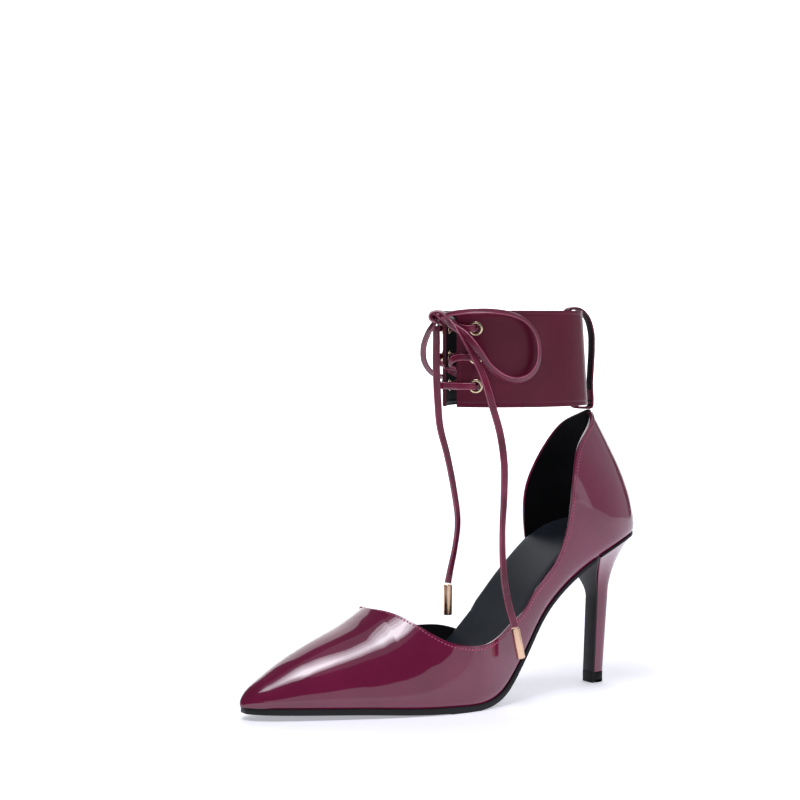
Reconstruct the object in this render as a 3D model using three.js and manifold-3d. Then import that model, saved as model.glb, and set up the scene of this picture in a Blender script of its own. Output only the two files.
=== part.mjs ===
import * as THREE from 'three';
import { mergeVertices } from 'three/addons/utils/BufferGeometryUtils.js';
import Module from 'manifold-3d';

const wasm = await Module();
wasm.setup();

// Driving dimensions, millimetres
const shoeLength = 228;
const ballWidth = 74;
const seatHeight = 80;
const counterHeight = 64;
const vampHeight = 45;
const soleThickness = 3.4;
const upperWall = 1.6;
const boardThickness = 9;
const sockThickness = 1.2;
const liftHeight = 5.6;
const stemHeight = 45;
const stemLength = 8.8;
const stemWidth = 8.8;
const flapThickness = 1.2;
const cuffHeight = 48.3;
const cuffLength = 78.8;
const cuffWidth = 54;
const cuffWall = 1.8;
const cuffTaper = 0.05;
const cuffClearance = 3.4;
const eyeletDiameter = 7.2;
const eyeletBore = 4;
const eyeletWall = 0.6;
const loopWidth = 4.6;
const loopThickness = 1.3;
const laceDiameter = 2;
const agletDiameter = 4.3;
const agletLength = 15.5;
const gap = 0.3;

// Where each section lies: a share of the length, from the back of the heel to the toe tip.
// The counter bulges a little behind the heel's back, so the shoe's middle lies ahead of the last's.
const counterBulge = 0.29;
const along = (share) => (share - 0.5) * shoeLength + counterBulge;
const shareAt = (x) => (x - counterBulge) / shoeLength + 0.5;
const halfBall = ballWidth / 2;

// A smooth curve through a few values: a natural cubic
function smooth(knots, values) {
  const count = knots.length;
  const bend = new Array(count).fill(0);
  const carry = new Array(count).fill(0);
  for (let i = 1; i < count - 1; i += 1) {
    const before = knots[i] - knots[i - 1];
    const after = knots[i + 1] - knots[i];
    const turn = (values[i + 1] - values[i]) / after - (values[i] - values[i - 1]) / before;
    const weight = 2 * (before + after) - before * bend[i - 1];
    bend[i] = after / weight;
    carry[i] = (6 * turn - before * carry[i - 1]) / weight;
  }
  const curve = new Array(count).fill(0);
  for (let i = count - 2; i > 0; i -= 1) curve[i] = carry[i] - bend[i] * curve[i + 1];
  return (at) => {
    let i = 0;
    while (i < count - 2 && at > knots[i + 1]) i += 1;
    const span = knots[i + 1] - knots[i];
    const b = (at - knots[i]) / span;
    const a = 1 - b;
    const ease = ((a ** 3 - a) * curve[i] + (b ** 3 - b) * curve[i + 1]) * span * span / 6;
    return a * values[i] + b * values[i + 1] + ease;
  };
}

const column = (rows, name) => rows.map((row) => row[name]);
const tableCurve = (rows, knot, name) => smooth(column(rows, knot), column(rows, name));

// A plane curve through points, by the distance between them
function planeCurve(points) {
  const knots = [0];
  for (let i = 1; i < points.length; i += 1) {
    knots.push(knots[i - 1] + Math.hypot(points[i][0] - points[i - 1][0], points[i][1] - points[i - 1][1]));
  }
  return {
    knots,
    first: smooth(knots, points.map((p) => p[0])),
    second: smooth(knots, points.map((p) => p[1])),
  };
}

// Where a curve's first value reaches a target, between two of its knots
function crossing(curve, target, from, to) {
  let low = from;
  let high = to;
  const rising = curve(high) > curve(low);
  for (let i = 0; i < 40; i += 1) {
    const middle = (low + high) / 2;
    if ((curve(middle) < target) === rising) low = middle;
    else high = middle;
  }
  return (low + high) / 2;
}

// Plan of the last at the feather edge: shares of the length and of half the ball width
const plan = [
  { at: 0, lateral: 0, medial: 0 },
  { at: 0.0074, lateral: 0.175, medial: -0.175 },
  { at: 0.022, lateral: 0.315, medial: -0.315 },
  { at: 0.0477, lateral: 0.455, medial: -0.455 },
  { at: 0.0846, lateral: 0.575, medial: -0.575 },
  { at: 0.1237, lateral: 0.636, medial: -0.632 },
  { at: 0.1873, lateral: 0.624, medial: -0.618 },
  { at: 0.2662, lateral: 0.608, medial: -0.585 },
  { at: 0.3408, lateral: 0.668, medial: -0.607 },
  { at: 0.4067, lateral: 0.782, medial: -0.700 },
  { at: 0.4723, lateral: 0.925, medial: -0.845 },
  { at: 0.5469, lateral: 1, medial: -0.968 },
  { at: 0.6171, lateral: 0.967, medial: -1 },
  { at: 0.6917, lateral: 0.854, medial: -0.932 },
  { at: 0.7794, lateral: 0.662, medial: -0.797 },
  { at: 0.8651, lateral: 0.442, medial: -0.640 },
  { at: 0.9264, lateral: 0.268, medial: -0.506 },
  { at: 0.9673, lateral: 0.124, medial: -0.388 },
  { at: 0.9877, lateral: 0.012, medial: -0.294 },
  { at: 1, lateral: -0.145, medial: -0.145 },
];

// Height of the feather edge: shares of the seat height over the sole
const feather = [
  { at: 0, rise: 1 },
  { at: 0.0514, rise: 0.979 },
  { at: 0.104, rise: 0.935 },
  { at: 0.161, rise: 0.859 },
  { at: 0.2224, rise: 0.743 },
  { at: 0.2749, rise: 0.618 },
  { at: 0.3188, rise: 0.481 },
  { at: 0.3628, rise: 0.303 },
  { at: 0.3978, rise: 0.178 },
  { at: 0.4329, rise: 0.080 },
  { at: 0.4681, rise: 0.027 },
  { at: 0.5031, rise: 0.004 },
  { at: 0.5601, rise: 0.001 },
  { at: 0.6478, rise: 0.007 },
  { at: 0.7574, rise: 0.023 },
  { at: 0.8856, rise: 0.033 },
  { at: 1, rise: 0.042 },
];

// Ridge of the toe box: height over the feather as a share of the vamp height
const ridge = [
  { at: 1, height: 0 },
  { at: 0.9877, height: 0.14 },
  { at: 0.951, height: 0.285 },
  { at: 0.9059, height: 0.43 },
  { at: 0.8594, height: 0.552 },
  { at: 0.8113, height: 0.665 },
  { at: 0.761, height: 0.775 },
  { at: 0.7224, height: 0.88 },
  { at: 0.6917, height: 0.98 },
  { at: 0.6478, height: 1.11 },
];
const ridgeSide = -0.155;

// Outer wall, from the throat round the heel to the end of the inner wing.
// foot and lean place the foot and how far the crown lies ahead of it, side and height the crown,
// edge the cut top line, arch how round the section is, low and high its swell, turn where it faces.
const outerWall = [
  { foot: 0.6346, sign: 1, lean: -0.004, side: -0.03, height: 0.83, edge: 0.585,
    arch: 1, low: 0.02, high: 0, turn: 0 },
  { foot: 0.5819, sign: 1, lean: 0, side: 0.42, height: 0.82, edge: 0.480,
    arch: 0.9, low: 0.03, high: 0.03, turn: 0 },
  { foot: 0.5293, sign: 1, lean: 0.004, side: 0.83, height: 0.77, edge: 0.452,
    arch: 0.6, low: 0.05, high: 0.05, turn: 0 },
  { foot: 0.4768, sign: 1, lean: 0.010, side: 0.885, height: 0.68, edge: 0.446,
    arch: 0.35, low: 0.04, high: 0.04, turn: 0 },
  { foot: 0.4329, sign: 1, lean: 0.017, side: 0.85, height: 0.57, edge: 0.430,
    arch: 0.2, low: 0.04, high: 0.03, turn: 0 },
  { foot: 0.3934, sign: 1, lean: 0.023, side: 0.80, height: 0.435, edge: 0.365,
    arch: 0.1, low: 0.04, high: 0.03, turn: 0 },
  { foot: 0.354, sign: 1, lean: 0.028, side: 0.755, height: 0.30, edge: 0.265,
    arch: 0, low: 0.04, high: 0.03, turn: 0 },
  { foot: 0.3101, sign: 1, lean: 0.035, side: 0.715, height: 0.20, edge: 0.2,
    arch: 0, low: 0.04, high: 0.03, turn: 0 },
  { foot: 0.2662, sign: 1, lean: 0.045, side: 0.70, height: 0.155, edge: 0.155,
    arch: 0, low: 0.05, high: 0.03, turn: 0 },
  { foot: 0.2224, sign: 1, lean: 0.058, side: 0.70, height: 0.18, edge: 0.18,
    arch: 0, low: 0.06, high: 0.04, turn: 0 },
  { foot: 0.1785, sign: 1, lean: 0.079, side: 0.70, height: 0.275, edge: 0.275,
    arch: 0, low: 0.08, high: 0.05, turn: 2 },
  { foot: 0.1354, sign: 1, lean: 0.110, side: 0.70, height: 0.415, edge: 0.415,
    arch: 0, low: 0.11, high: 0.07, turn: 6 },
  { foot: 0.0963, sign: 1, lean: 0.138, side: 0.675, height: 0.60, edge: 0.60,
    arch: 0, low: 0.16, high: 0.10, turn: 16 },
  { foot: 0.0624, sign: 1, lean: 0.147, side: 0.56, height: 0.75, edge: 0.75,
    arch: 0, low: 0.185, high: 0.125, turn: 32 },
  { foot: 0.033, sign: 1, lean: 0.136, side: 0.38, height: 0.845, edge: 0.845,
    arch: 0, low: 0.225, high: 0.15, turn: 52 },
  { foot: 0.011, sign: 1, lean: 0.120, side: 0.2, height: 0.93, edge: 0.93,
    arch: 0, low: 0.245, high: 0.165, turn: 72 },
  { foot: 0, sign: 1, lean: 0.110, side: -0.02, height: 1, edge: 1,
    arch: 0, low: 0.235, high: 0.165, turn: 90 },
  { foot: 0.011, sign: -1, lean: 0.115, side: -0.2, height: 0.965, edge: 0.965,
    arch: 0, low: 0.245, high: 0.165, turn: 108 },
  { foot: 0.033, sign: -1, lean: 0.116, side: -0.36, height: 0.905, edge: 0.905,
    arch: 0, low: 0.225, high: 0.15, turn: 128 },
  { foot: 0.0624, sign: -1, lean: 0.111, side: -0.52, height: 0.77, edge: 0.77,
    arch: 0, low: 0.185, high: 0.125, turn: 148 },
  { foot: 0.0963, sign: -1, lean: 0.102, side: -0.625, height: 0.61, edge: 0.61,
    arch: 0, low: 0.15, high: 0.10, turn: 164 },
  { foot: 0.1275, sign: -1, lean: 0.088, side: -0.68, height: 0.46, edge: 0.46,
    arch: 0, low: 0.10, high: 0.07, turn: 174 },
  { foot: 0.1565, sign: -1, lean: 0.064, side: -0.69, height: 0.32, edge: 0.32,
    arch: 0, low: 0.07, high: 0.05, turn: 178 },
  { foot: 0.1829, sign: -1, lean: 0.036, side: -0.675, height: 0.195, edge: 0.195,
    arch: 0, low: 0.05, high: 0.03, turn: 180 },
  { foot: 0.203, sign: -1, lean: 0.012, side: -0.64, height: 0.085, edge: 0.085,
    arch: 0, low: 0.02, high: 0.01, turn: 180 },
  { foot: 0.2114, sign: -1, lean: 0.001, side: -0.618, height: 0.03, edge: 0.03,
    arch: 0, low: 0, high: 0, turn: 180 },
];

// Inner side of the vamp, from the throat to where it ends at the open waist
const innerWall = [
  { foot: 0.6346, sign: -1, lean: -0.004, side: -0.32, height: 0.83, edge: 0.56,
    arch: 1, low: 0.02, high: 0, turn: 180 },
  { foot: 0.5819, sign: -1, lean: 0, side: -0.65, height: 0.82, edge: 0.500,
    arch: 0.9, low: 0.03, high: 0.02, turn: 180 },
  { foot: 0.5293, sign: -1, lean: 0, side: -0.86, height: 0.76, edge: 0.468,
    arch: 0.6, low: 0.04, high: 0.03, turn: 180 },
  { foot: 0.4768, sign: -1, lean: 0, side: -0.83, height: 0.66, edge: 0.440,
    arch: 0.3, low: 0.03, high: 0.03, turn: 180 },
  { foot: 0.4373, sign: -1, lean: 0, side: -0.76, height: 0.52, edge: 0.370,
    arch: 0.2, low: 0.02, high: 0.02, turn: 180 },
  { foot: 0.411, sign: -1, lean: 0, side: -0.71, height: 0.40, edge: 0.265,
    arch: 0.1, low: 0.01, high: 0.01, turn: 180 },
  { foot: 0.3934, sign: -1, lean: 0, side: -0.68, height: 0.30, edge: 0.16,
    arch: 0, low: 0.01, high: 0.01, turn: 180 },
  { foot: 0.3802, sign: -1, lean: 0, side: -0.66, height: 0.2, edge: 0.04,
    arch: 0, low: 0, high: 0, turn: 180 },
];

const throatAt = 0.6917;

// The closed plan outline, tip to tip: inner side back to the heel, outer side forward
const planPoint = (row, side) => [along(row.at), row[side] * halfBall];
const overlapRows = 4;
const planRing = [
  ...plan.slice(-1 - overlapRows, -1).map((row) => planPoint(row, 'lateral')),
  ...[...plan].reverse().map((row) => planPoint(row, 'medial')),
  ...plan.slice(1).map((row) => planPoint(row, 'lateral')),
  ...plan.slice(-1 - overlapRows, -1).reverse().map((row) => planPoint(row, 'medial')),
];
const outline = planeCurve(planRing);
const tipKnot = outline.knots[overlapRows];
const backKnot = outline.knots[overlapRows + plan.length - 1];
const endKnot = outline.knots[overlapRows + 2 * plan.length - 2];
const outlineKnot = (x, sign) => (sign > 0
  ? crossing(outline.first, x, backKnot, endKnot)
  : crossing(outline.first, x, tipKnot, backKnot));

// Direction out of the shoe, in plan, at a place on the outline
function outwardAt(knot) {
  const step = 0.05;
  const dx = outline.first(knot + step) - outline.first(knot - step);
  const dy = outline.second(knot + step) - outline.second(knot - step);
  return new THREE.Vector3(-dy, dx, 0).normalize();
}

const featherRise = tableCurve(feather, 'at', 'rise');
const featherHeight = (x) => soleThickness + (seatHeight - soleThickness) * featherRise(shareAt(x));

// The ridge is one smooth curve that stands upright at the tip
const ridgePoint = (row) => [along(row.at), row.height * vampHeight];
const ridgeRing = [
  ...ridge.slice(1, 1 + overlapRows).reverse().map((row) => [along(row.at), -row.height * vampHeight]),
  ...ridge.map(ridgePoint),
];
const ridgeCurve = planeCurve(ridgeRing);
const ridgeStart = ridgeCurve.knots[overlapRows];
const ridgeEnd = ridgeCurve.knots[ridgeCurve.knots.length - 1];
function ridgeAt(x) {
  const knot = crossing(ridgeCurve.first, x, ridgeStart, ridgeEnd);
  return new THREE.Vector3(x, ridgeSide * halfBall, featherHeight(x) + ridgeCurve.second(knot));
}

// Every wall section starts with a few on the ridge, so that it flows out of the toe box
const ridgeSections = [0.8048, 0.7653, 0.7268, throatAt];
function wallCurves(rows, sign) {
  const foots = [];
  const columns = { lean: [], side: [], height: [], edge: [], arch: [], low: [], high: [], turn: [] };
  for (const share of ridgeSections) {
    const x = along(share);
    foots.push(outlineKnot(x, sign));
    const top = ridgeAt(x).z - featherHeight(x);
    const values = {
      lean: 0, side: ridgeSide, height: top / counterHeight, edge: top / counterHeight,
      arch: 1, low: 0.02, high: 0, turn: sign > 0 ? 0 : 180,
    };
    for (const name of Object.keys(columns)) columns[name].push(values[name]);
  }
  for (const row of rows) {
    foots.push(outlineKnot(along(row.foot), row.sign));
    for (const name of Object.keys(columns)) columns[name].push(row[name]);
  }
  const knots = sign > 0 ? foots.map((knot) => -knot) : foots;
  const curves = {};
  for (const name of Object.keys(columns)) curves[name] = smooth(knots, columns[name]);
  return { knots, curves };
}
const outer = wallCurves(outerWall, 1);
const inner = wallCurves(innerWall, -1);

// One section of the last: a curve from its foot to its crown
function lastSection(foot, crown, arch, low, high, turn) {
  const facing = THREE.MathUtils.degToRad(turn);
  const outward = new THREE.Vector3(-Math.sin(facing), Math.cos(facing), 0);
  const chord = crown.clone().sub(foot);
  const reach = -chord.dot(outward);
  const third = chord.clone().divideScalar(3);
  const round = 0.2190;
  const first = foot.clone().add(third)
    .addScaledVector(outward, arch * reach / 3 + low * halfBall)
    .add(new THREE.Vector3(0, 0, arch * round * chord.z));
  const second = foot.clone().addScaledVector(third, 2)
    .addScaledVector(outward, arch * round * reach + high * halfBall)
    .add(new THREE.Vector3(0, 0, arch * chord.z / 3));
  return new THREE.CubicBezierCurve3(foot, first, second, crown);
}

function footAt(knot) {
  const x = outline.first(knot);
  return new THREE.Vector3(x, outline.second(knot), featherHeight(x));
}

function toeSection(x, sign) {
  const foot = footAt(outlineKnot(x, sign));
  const section = lastSection(foot, ridgeAt(x), 1, 0.02, 0, sign > 0 ? 0 : 180);
  return { section, top: 1 };
}

// A wall section and the share of it that lies under the cut top line
function wallSection(wall, knot, side) {
  const curve = wall.curves;
  const at = side > 0 ? -knot : knot;
  const foot = footAt(knot);
  const crown = new THREE.Vector3(
    foot.x + curve.lean(at) * shoeLength,
    curve.side(at) * halfBall,
    foot.z + curve.height(at) * counterHeight,
  );
  const section = lastSection(foot, crown, curve.arch(at), curve.low(at), curve.high(at), curve.turn(at));
  const edge = foot.z + Math.min(curve.edge(at), curve.height(at)) * counterHeight;
  const top = crossing((u) => section.getPoint(u).z, edge, 0, 1);
  return { section, top };
}

// Stations of the toe box, closer together towards the tip
const toeSteps = 12;
const wallSteps = { outer: 54, inner: 14 };
const wallRows = 9;
const throatX = along(throatAt);
const tipX = along(1);
const toeStations = [];
for (let i = 1; i <= toeSteps; i += 1) toeStations.push(tipX + (throatX - tipX) * (i / toeSteps) ** 2);

function wallGrid(wall, rows, side, steps) {
  const sections = toeStations.map((x) => toeSection(x, side));
  const start = outlineKnot(throatX, side);
  const last = rows[rows.length - 1];
  const end = outlineKnot(along(last.foot), last.sign);
  for (let i = 1; i <= steps; i += 1) {
    sections.push(wallSection(wall, start + (end - start) * (i / steps), side));
  }
  const grid = [];
  for (const { section, top } of sections) {
    const line = [];
    for (let j = 0; j <= wallRows; j += 1) line.push(section.getPoint(top * j / wallRows));
    grid.push(line);
  }
  return grid;
}

// The lining side: each point moved in along the wall's own direction
function liningGrid(grid, side, tip) {
  const tipLine = grid[0].map(() => tip);
  const all = [tipLine, ...grid];
  const lining = [];
  for (let i = 1; i < all.length; i += 1) {
    const line = [];
    const next = all[Math.min(i + 1, all.length - 1)];
    const before = all[i - 1];
    for (let j = 0; j <= wallRows; j += 1) {
      const run = next[j].clone().sub(before[j]);
      const rise = all[i][Math.min(j + 1, wallRows)].clone().sub(all[i][Math.max(j - 1, 0)]);
      const inward = run.cross(rise).multiplyScalar(side > 0 ? 1 : -1);
      if (j === 0) inward.z = 0;
      if (i <= toeSteps && j === wallRows) inward.y = 0;
      line.push(all[i][j].clone().addScaledVector(inward.normalize(), upperWall));
    }
    lining.push(line);
  }
  return lining;
}

function geometryOf(triangles) {
  const positions = [];
  for (const [a, b, c] of triangles) {
    if (a.distanceTo(b) < 1e-6 || b.distanceTo(c) < 1e-6 || c.distanceTo(a) < 1e-6) continue;
    for (const p of [a, b, c]) positions.push(p.x, p.y, p.z);
  }
  const geometry = new THREE.BufferGeometry();
  geometry.setAttribute('position', new THREE.Float32BufferAttribute(positions, 3));
  geometry.computeVertexNormals();
  return geometry;
}

// Triangles over a grid of points, or a strip between two lines
function sheet(grid, flip = false) {
  const triangles = [];
  for (let i = 0; i + 1 < grid.length; i += 1) {
    for (let j = 0; j + 1 < grid[i].length; j += 1) {
      const [a, b, c, d] = [grid[i][j], grid[i + 1][j], grid[i + 1][j + 1], grid[i][j + 1]];
      if (flip) triangles.push([a, c, b], [a, d, c]);
      else triangles.push([a, b, c], [a, c, d]);
    }
  }
  return triangles;
}
const strip = (one, two, flip = false) => sheet([one, two], flip);
const flatFan = (ring, flip = false) => {
  const triangles = [];
  for (let i = 1; i + 1 < ring.length; i += 1) {
    triangles.push(flip ? [ring[0], ring[i + 1], ring[i]] : [ring[0], ring[i], ring[i + 1]]);
  }
  return triangles;
};

function upperGeometry() {
  const tip = new THREE.Vector3(tipX, ridgeSide * halfBall, featherHeight(tipX));
  const liningTip = tip.clone().add(new THREE.Vector3(-upperWall, 0, 0));
  const outside = wallGrid(outer, outerWall, 1, wallSteps.outer);
  const inside = wallGrid(inner, innerWall, -1, wallSteps.inner);
  const outsideLining = liningGrid(outside, 1, tip);
  const insideLining = liningGrid(inside, -1, tip);
  for (let i = 0; i < toeSteps; i += 1) {
    inside[i][wallRows] = outside[i][wallRows];
    insideLining[i][wallRows] = outsideLining[i][wallRows];
  }
  const triangles = [];
  for (const [wall, lining, flip] of [[outside, outsideLining, true], [inside, insideLining, false]]) {
    const end = wall.length - 1;
    const withTip = (grid, point) => [grid[0].map(() => point), ...grid];
    triangles.push(...sheet(withTip(wall, tip), flip));
    triangles.push(...sheet(withTip(lining, liningTip), !flip));
    const foot = [tip, ...wall.map((line) => line[0])];
    const liningFoot = [liningTip, ...lining.map((line) => line[0])];
    triangles.push(...strip(foot, liningFoot, flip));
    const topOf = (grid) => grid.slice(toeSteps - 1).map((line) => line[wallRows]);
    triangles.push(...strip(topOf(wall), topOf(lining), !flip));
    triangles.push(...strip(wall[end], lining[end], flip));
  }
  return geometryOf(triangles);
}

// Insole: height of the footbed over the feather edge, as a share of the board's thickness
const footbed = [
  { at: 0, rise: 0.80 },
  { at: 0.0492, rise: 0.92 },
  { at: 0.0996, rise: 1.12 },
  { at: 0.1434, rise: 1.40 },
  { at: 0.196, rise: 1.76 },
  { at: 0.2443, rise: 1.84 },
  { at: 0.2969, rise: 1.82 },
  { at: 0.3276, rise: 1.90 },
  { at: 0.3627, rise: 2.02 },
  { at: 0.389, rise: 2.04 },
  { at: 0.4154, rise: 1.92 },
  { at: 0.4417, rise: 1.66 },
  { at: 0.4724, rise: 1.22 },
  { at: 0.5163, rise: 0.76 },
  { at: 0.56, rise: 0.50 },
  { at: 0.6259, rise: 0.42 },
  { at: 0.7574, rise: 0.38 },
  { at: 1, rise: 0.36 },
];
const footbedRise = tableCurve(footbed, 'at', 'rise');
const footbedHeight = (x) => featherHeight(x) + footbedRise(shareAt(x)) * boardThickness;

// The board lies inside the wall, and comes out flush where the inner waist is open
const openWaist = { from: 0.2136, fromFull: 0.2289, toFull: 0.3627, to: 0.3781 };
const insideInset = upperWall + 2 * gap;
const flushInset = 1.3 * gap;
const ease = THREE.MathUtils.smoothstep;
function boardInset(x, sign) {
  const share = shareAt(x);
  const open = sign > 0 ? 0
    : ease(share, openWaist.from, openWaist.fromFull) * (1 - ease(share, openWaist.toFull, openWaist.to));
  return THREE.MathUtils.lerp(insideInset, flushInset, open);
}

// A point of the plan outline moved in, square to the outline
function insetPoint(x, sign, inset) {
  const knot = outlineKnot(x, sign);
  const outward = outwardAt(knot);
  return new THREE.Vector3(outline.first(knot), outline.second(knot), 0).addScaledVector(outward, -inset);
}

// A flat-lying body: rings of points, one for each pair of places on the outline, closed at both ends
function ringBody(rings) {
  const triangles = [];
  for (let i = 0; i + 1 < rings.length; i += 1) {
    triangles.push(...strip([...rings[i], rings[i][0]], [...rings[i + 1], rings[i + 1][0]]));
  }
  triangles.push(...flatFan(rings[0], false), ...flatFan(rings[rings.length - 1], true));
  return geometryOf(triangles);
}

// Places along the insole, closer together at the round ends and at the open waist's ends
const insoleFront = 0.9662;
const insolePlaces = [
  0.0114, 0.0152, 0.0218, 0.0323, 0.0474, 0.0664, 0.0905, 0.1159, 0.1463, 0.1767, 0.202, 0.2136, 0.2212,
  0.2289, 0.2577, 0.2881, 0.3185, 0.3438, 0.3627, 0.3702, 0.3781, 0.3996, 0.4198, 0.4401, 0.4604,
  0.4857, 0.511, 0.5414, 0.5819, 0.6326, 0.6934, 0.7542, 0.815, 0.8746, 0.9132, 0.9421, 0.9585, insoleFront,
];
const edgeRadius = 2;
const dish = 0.8;

function insoleRings(inset, bottomOf, topOf) {
  return insolePlaces.map((share) => {
    const x = along(share);
    const lateral = insetPoint(x, 1, inset(x, 1));
    const medial = insetPoint(x, -1, inset(x, -1));
    const across = (v) => medial.clone().lerp(lateral, v);
    const at = (v, height) => { const p = across(v); p.z = height(p.x, v); return p; };
    const width = medial.distanceTo(lateral);
    const corner = Math.min(edgeRadius / width, 0.2);
    const drop = Math.min(edgeRadius, (topOf(x, 0) - bottomOf(x, 0)) * 0.7);
    return [
      at(0, bottomOf), at(0.5, bottomOf), at(1, bottomOf),
      at(1, (px, v) => topOf(px, v) - drop), at(1 - corner * 0.3, (px, v) => topOf(px, v) - drop * 0.3),
      at(1 - corner, topOf), at(0.75, topOf), at(0.5, topOf), at(0.25, topOf), at(corner, topOf),
      at(corner * 0.3, (px, v) => topOf(px, v) - drop * 0.3), at(0, (px, v) => topOf(px, v) - drop),
    ].reverse();
  });
}
const cupped = (v) => dish * (2 * v - 1) ** 2;
const boardTop = (x, v) => footbedHeight(x) - sockThickness - gap + cupped(v);
const boardGeometry = () => ringBody(insoleRings(boardInset, (x) => featherHeight(x), boardTop));
const sockInset = (x, sign) => boardInset(x, sign) + edgeRadius * 0.6;
function sockGeometry() {
  const under = (x, v) => boardTop(x, v) + gap;
  return ringBody(insoleRings(sockInset, under, (x, v) => under(x, v) + sockThickness));
}

// Heel: ribs run from the seat outline down to the stem, hollow at first and then straight
const seatFront = 0.1524;
const seatInset = 0.6;
const stemTopFront = along(0.1013);
const stemFootFront = along(0.1088);
const stemFootShrink = 0.83;
const sideRibs = 10;
const frontRibs = 6;
const heelRows = 9;
const stemRows = 3;
const hollow = { front: 1.7, side: 2.1, back: 1.85 };

function stemPoint(front, length, width, v) {
  const angle = v * Math.PI / 2;
  return [front - length * Math.sin(angle), width / 2 * Math.cos(angle) ** 0.7];
}
const stemSection = (height) => {
  const down = (stemHeight - height) / (stemHeight - liftHeight - gap);
  return {
    front: THREE.MathUtils.lerp(stemTopFront, stemFootFront, down),
    length: stemLength * THREE.MathUtils.lerp(1, stemFootShrink, down),
    width: stemWidth * THREE.MathUtils.lerp(1, 0.97, down),
  };
};

// Heel ring at a share of the way down: outer side back to front is walked once round
function heelRing(share, height) {
  const stem = stemSection(Math.min(height, stemHeight));
  const points = [];
  const seatX = along(seatFront);
  const place = (seat, target, power) => {
    const flow = 1 - (1 - share) ** power;
    const top = featherHeight(seat.x) - gap;
    const z = height < stemHeight ? height : THREE.MathUtils.lerp(top, stemHeight, share);
    points.push(new THREE.Vector3(
      THREE.MathUtils.lerp(seat.x, target[0], flow), THREE.MathUtils.lerp(seat.y, target[1], flow), z));
  };
  for (const sign of [1, -1]) {
    for (let i = 0; i < sideRibs; i += 1) {
      const v = sign > 0 ? i / sideRibs : 1 - i / sideRibs;
      const cornerKnot = outlineKnot(seatX, sign);
      const knot = cornerKnot + (backKnot - cornerKnot) * v;
      const outward = outwardAt(knot);
      const seat = new THREE.Vector3(outline.first(knot), outline.second(knot), 0);
      seat.addScaledVector(outward, -seatInset);
      const target = stemPoint(stem.front, stem.length, stem.width, v);
      const power = THREE.MathUtils.lerp(hollow.side, hollow.back, v);
      place(seat, [target[0], sign * target[1]], power);
    }
  }
  const outerCorner = insetPoint(seatX, 1, seatInset);
  const innerCorner = insetPoint(seatX, -1, seatInset);
  for (let i = 0; i < frontRibs; i += 1) {
    const v = i / frontRibs;
    const seat = innerCorner.clone().lerp(outerCorner, v);
    const edge = Math.abs(2 * v - 1);
    const power = THREE.MathUtils.lerp(hollow.front, hollow.side, edge ** 2);
    place(seat, [stem.front, stem.width * (v - 0.5)], power);
  }
  return points;
}

function heelGeometry() {
  const rings = [];
  for (let i = 0; i <= heelRows; i += 1) rings.push(heelRing(i / heelRows, stemHeight));
  for (let i = 1; i <= stemRows; i += 1) {
    rings.push(heelRing(1, THREE.MathUtils.lerp(stemHeight, liftHeight + gap, i / stemRows) - 1e-6));
  }
  const triangles = [];
  for (let i = 0; i + 1 < rings.length; i += 1) {
    triangles.push(...strip([...rings[i], rings[i][0]], [...rings[i + 1], rings[i + 1][0]]));
  }
  triangles.push(...seatLadder(rings[0]), ...flatFan(rings[rings.length - 1], true));
  return geometryOf(triangles);
}

// The seat is closed rung by rung, from side to side, so that it keeps the feather's curve
function seatLadder(ring) {
  const count = 2 * sideRibs + frontRibs;
  const triangles = [];
  const outerSide = (i) => ring[i];
  const innerSide = (i) => ring[(2 * sideRibs - i) % count];
  const front = [innerSide(0)];
  for (let i = 1; i < frontRibs; i += 1) front.push(ring[2 * sideRibs + i]);
  front.push(ring[0]);
  for (let i = 0; i + 1 < front.length; i += 1) triangles.push([innerSide(1), front[i], front[i + 1]]);
  triangles.push([innerSide(1), outerSide(0), outerSide(1)]);
  for (let i = 1; i < sideRibs; i += 1) {
    const [a, b, c, d] = [outerSide(i), outerSide(i + 1), innerSide(i + 1), innerSide(i)];
    triangles.push([a, c, d]);
    if (i + 1 < sideRibs) triangles.push([a, b, c]);
  }
  return triangles;
}

// Lift: the stem's own section, with the flap's thickness in front
function liftGeometry() {
  const stem = stemSection(liftHeight);
  const shape = new THREE.Shape();
  const front = stem.front + gap + flapThickness;
  const ring = [];
  for (const sign of [1, -1]) {
    for (let i = 0; i < sideRibs; i += 1) {
      const v = sign > 0 ? i / sideRibs : 1 - i / sideRibs;
      const [x, y] = stemPoint(stem.front, stem.length, stem.width, v);
      ring.push(new THREE.Vector2(x, sign * y));
    }
  }
  ring.push(new THREE.Vector2(stem.front, -stem.width / 2));
  ring.push(new THREE.Vector2(front, -stem.width / 2), new THREE.Vector2(front, stem.width / 2));
  shape.setFromPoints(ring);
  return new THREE.ExtrudeGeometry(shape, { depth: liftHeight, bevelEnabled: false });
}

// Outsole: stations from the toe, up the waist and down over the heel's front
const soleInset = 0.6;
const waistThinning = 0.62;
const solePlaces = [
  0.9965, 0.9915, 0.984, 0.973, 0.9518, 0.918, 0.8746, 0.815, 0.7542, 0.6934, 0.6427, 0.6022,
  0.5617, 0.5211, 0.4907, 0.4705, 0.4502, 0.43, 0.4097, 0.3844, 0.359, 0.3337, 0.3033, 0.2729,
  0.2425, 0.2121, 0.1868, 0.1686,
];
const flapShares = [0.14, 0.24, 0.36, 0.5, 0.65, 0.82, 1];
const flapEndRows = 3;

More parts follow.
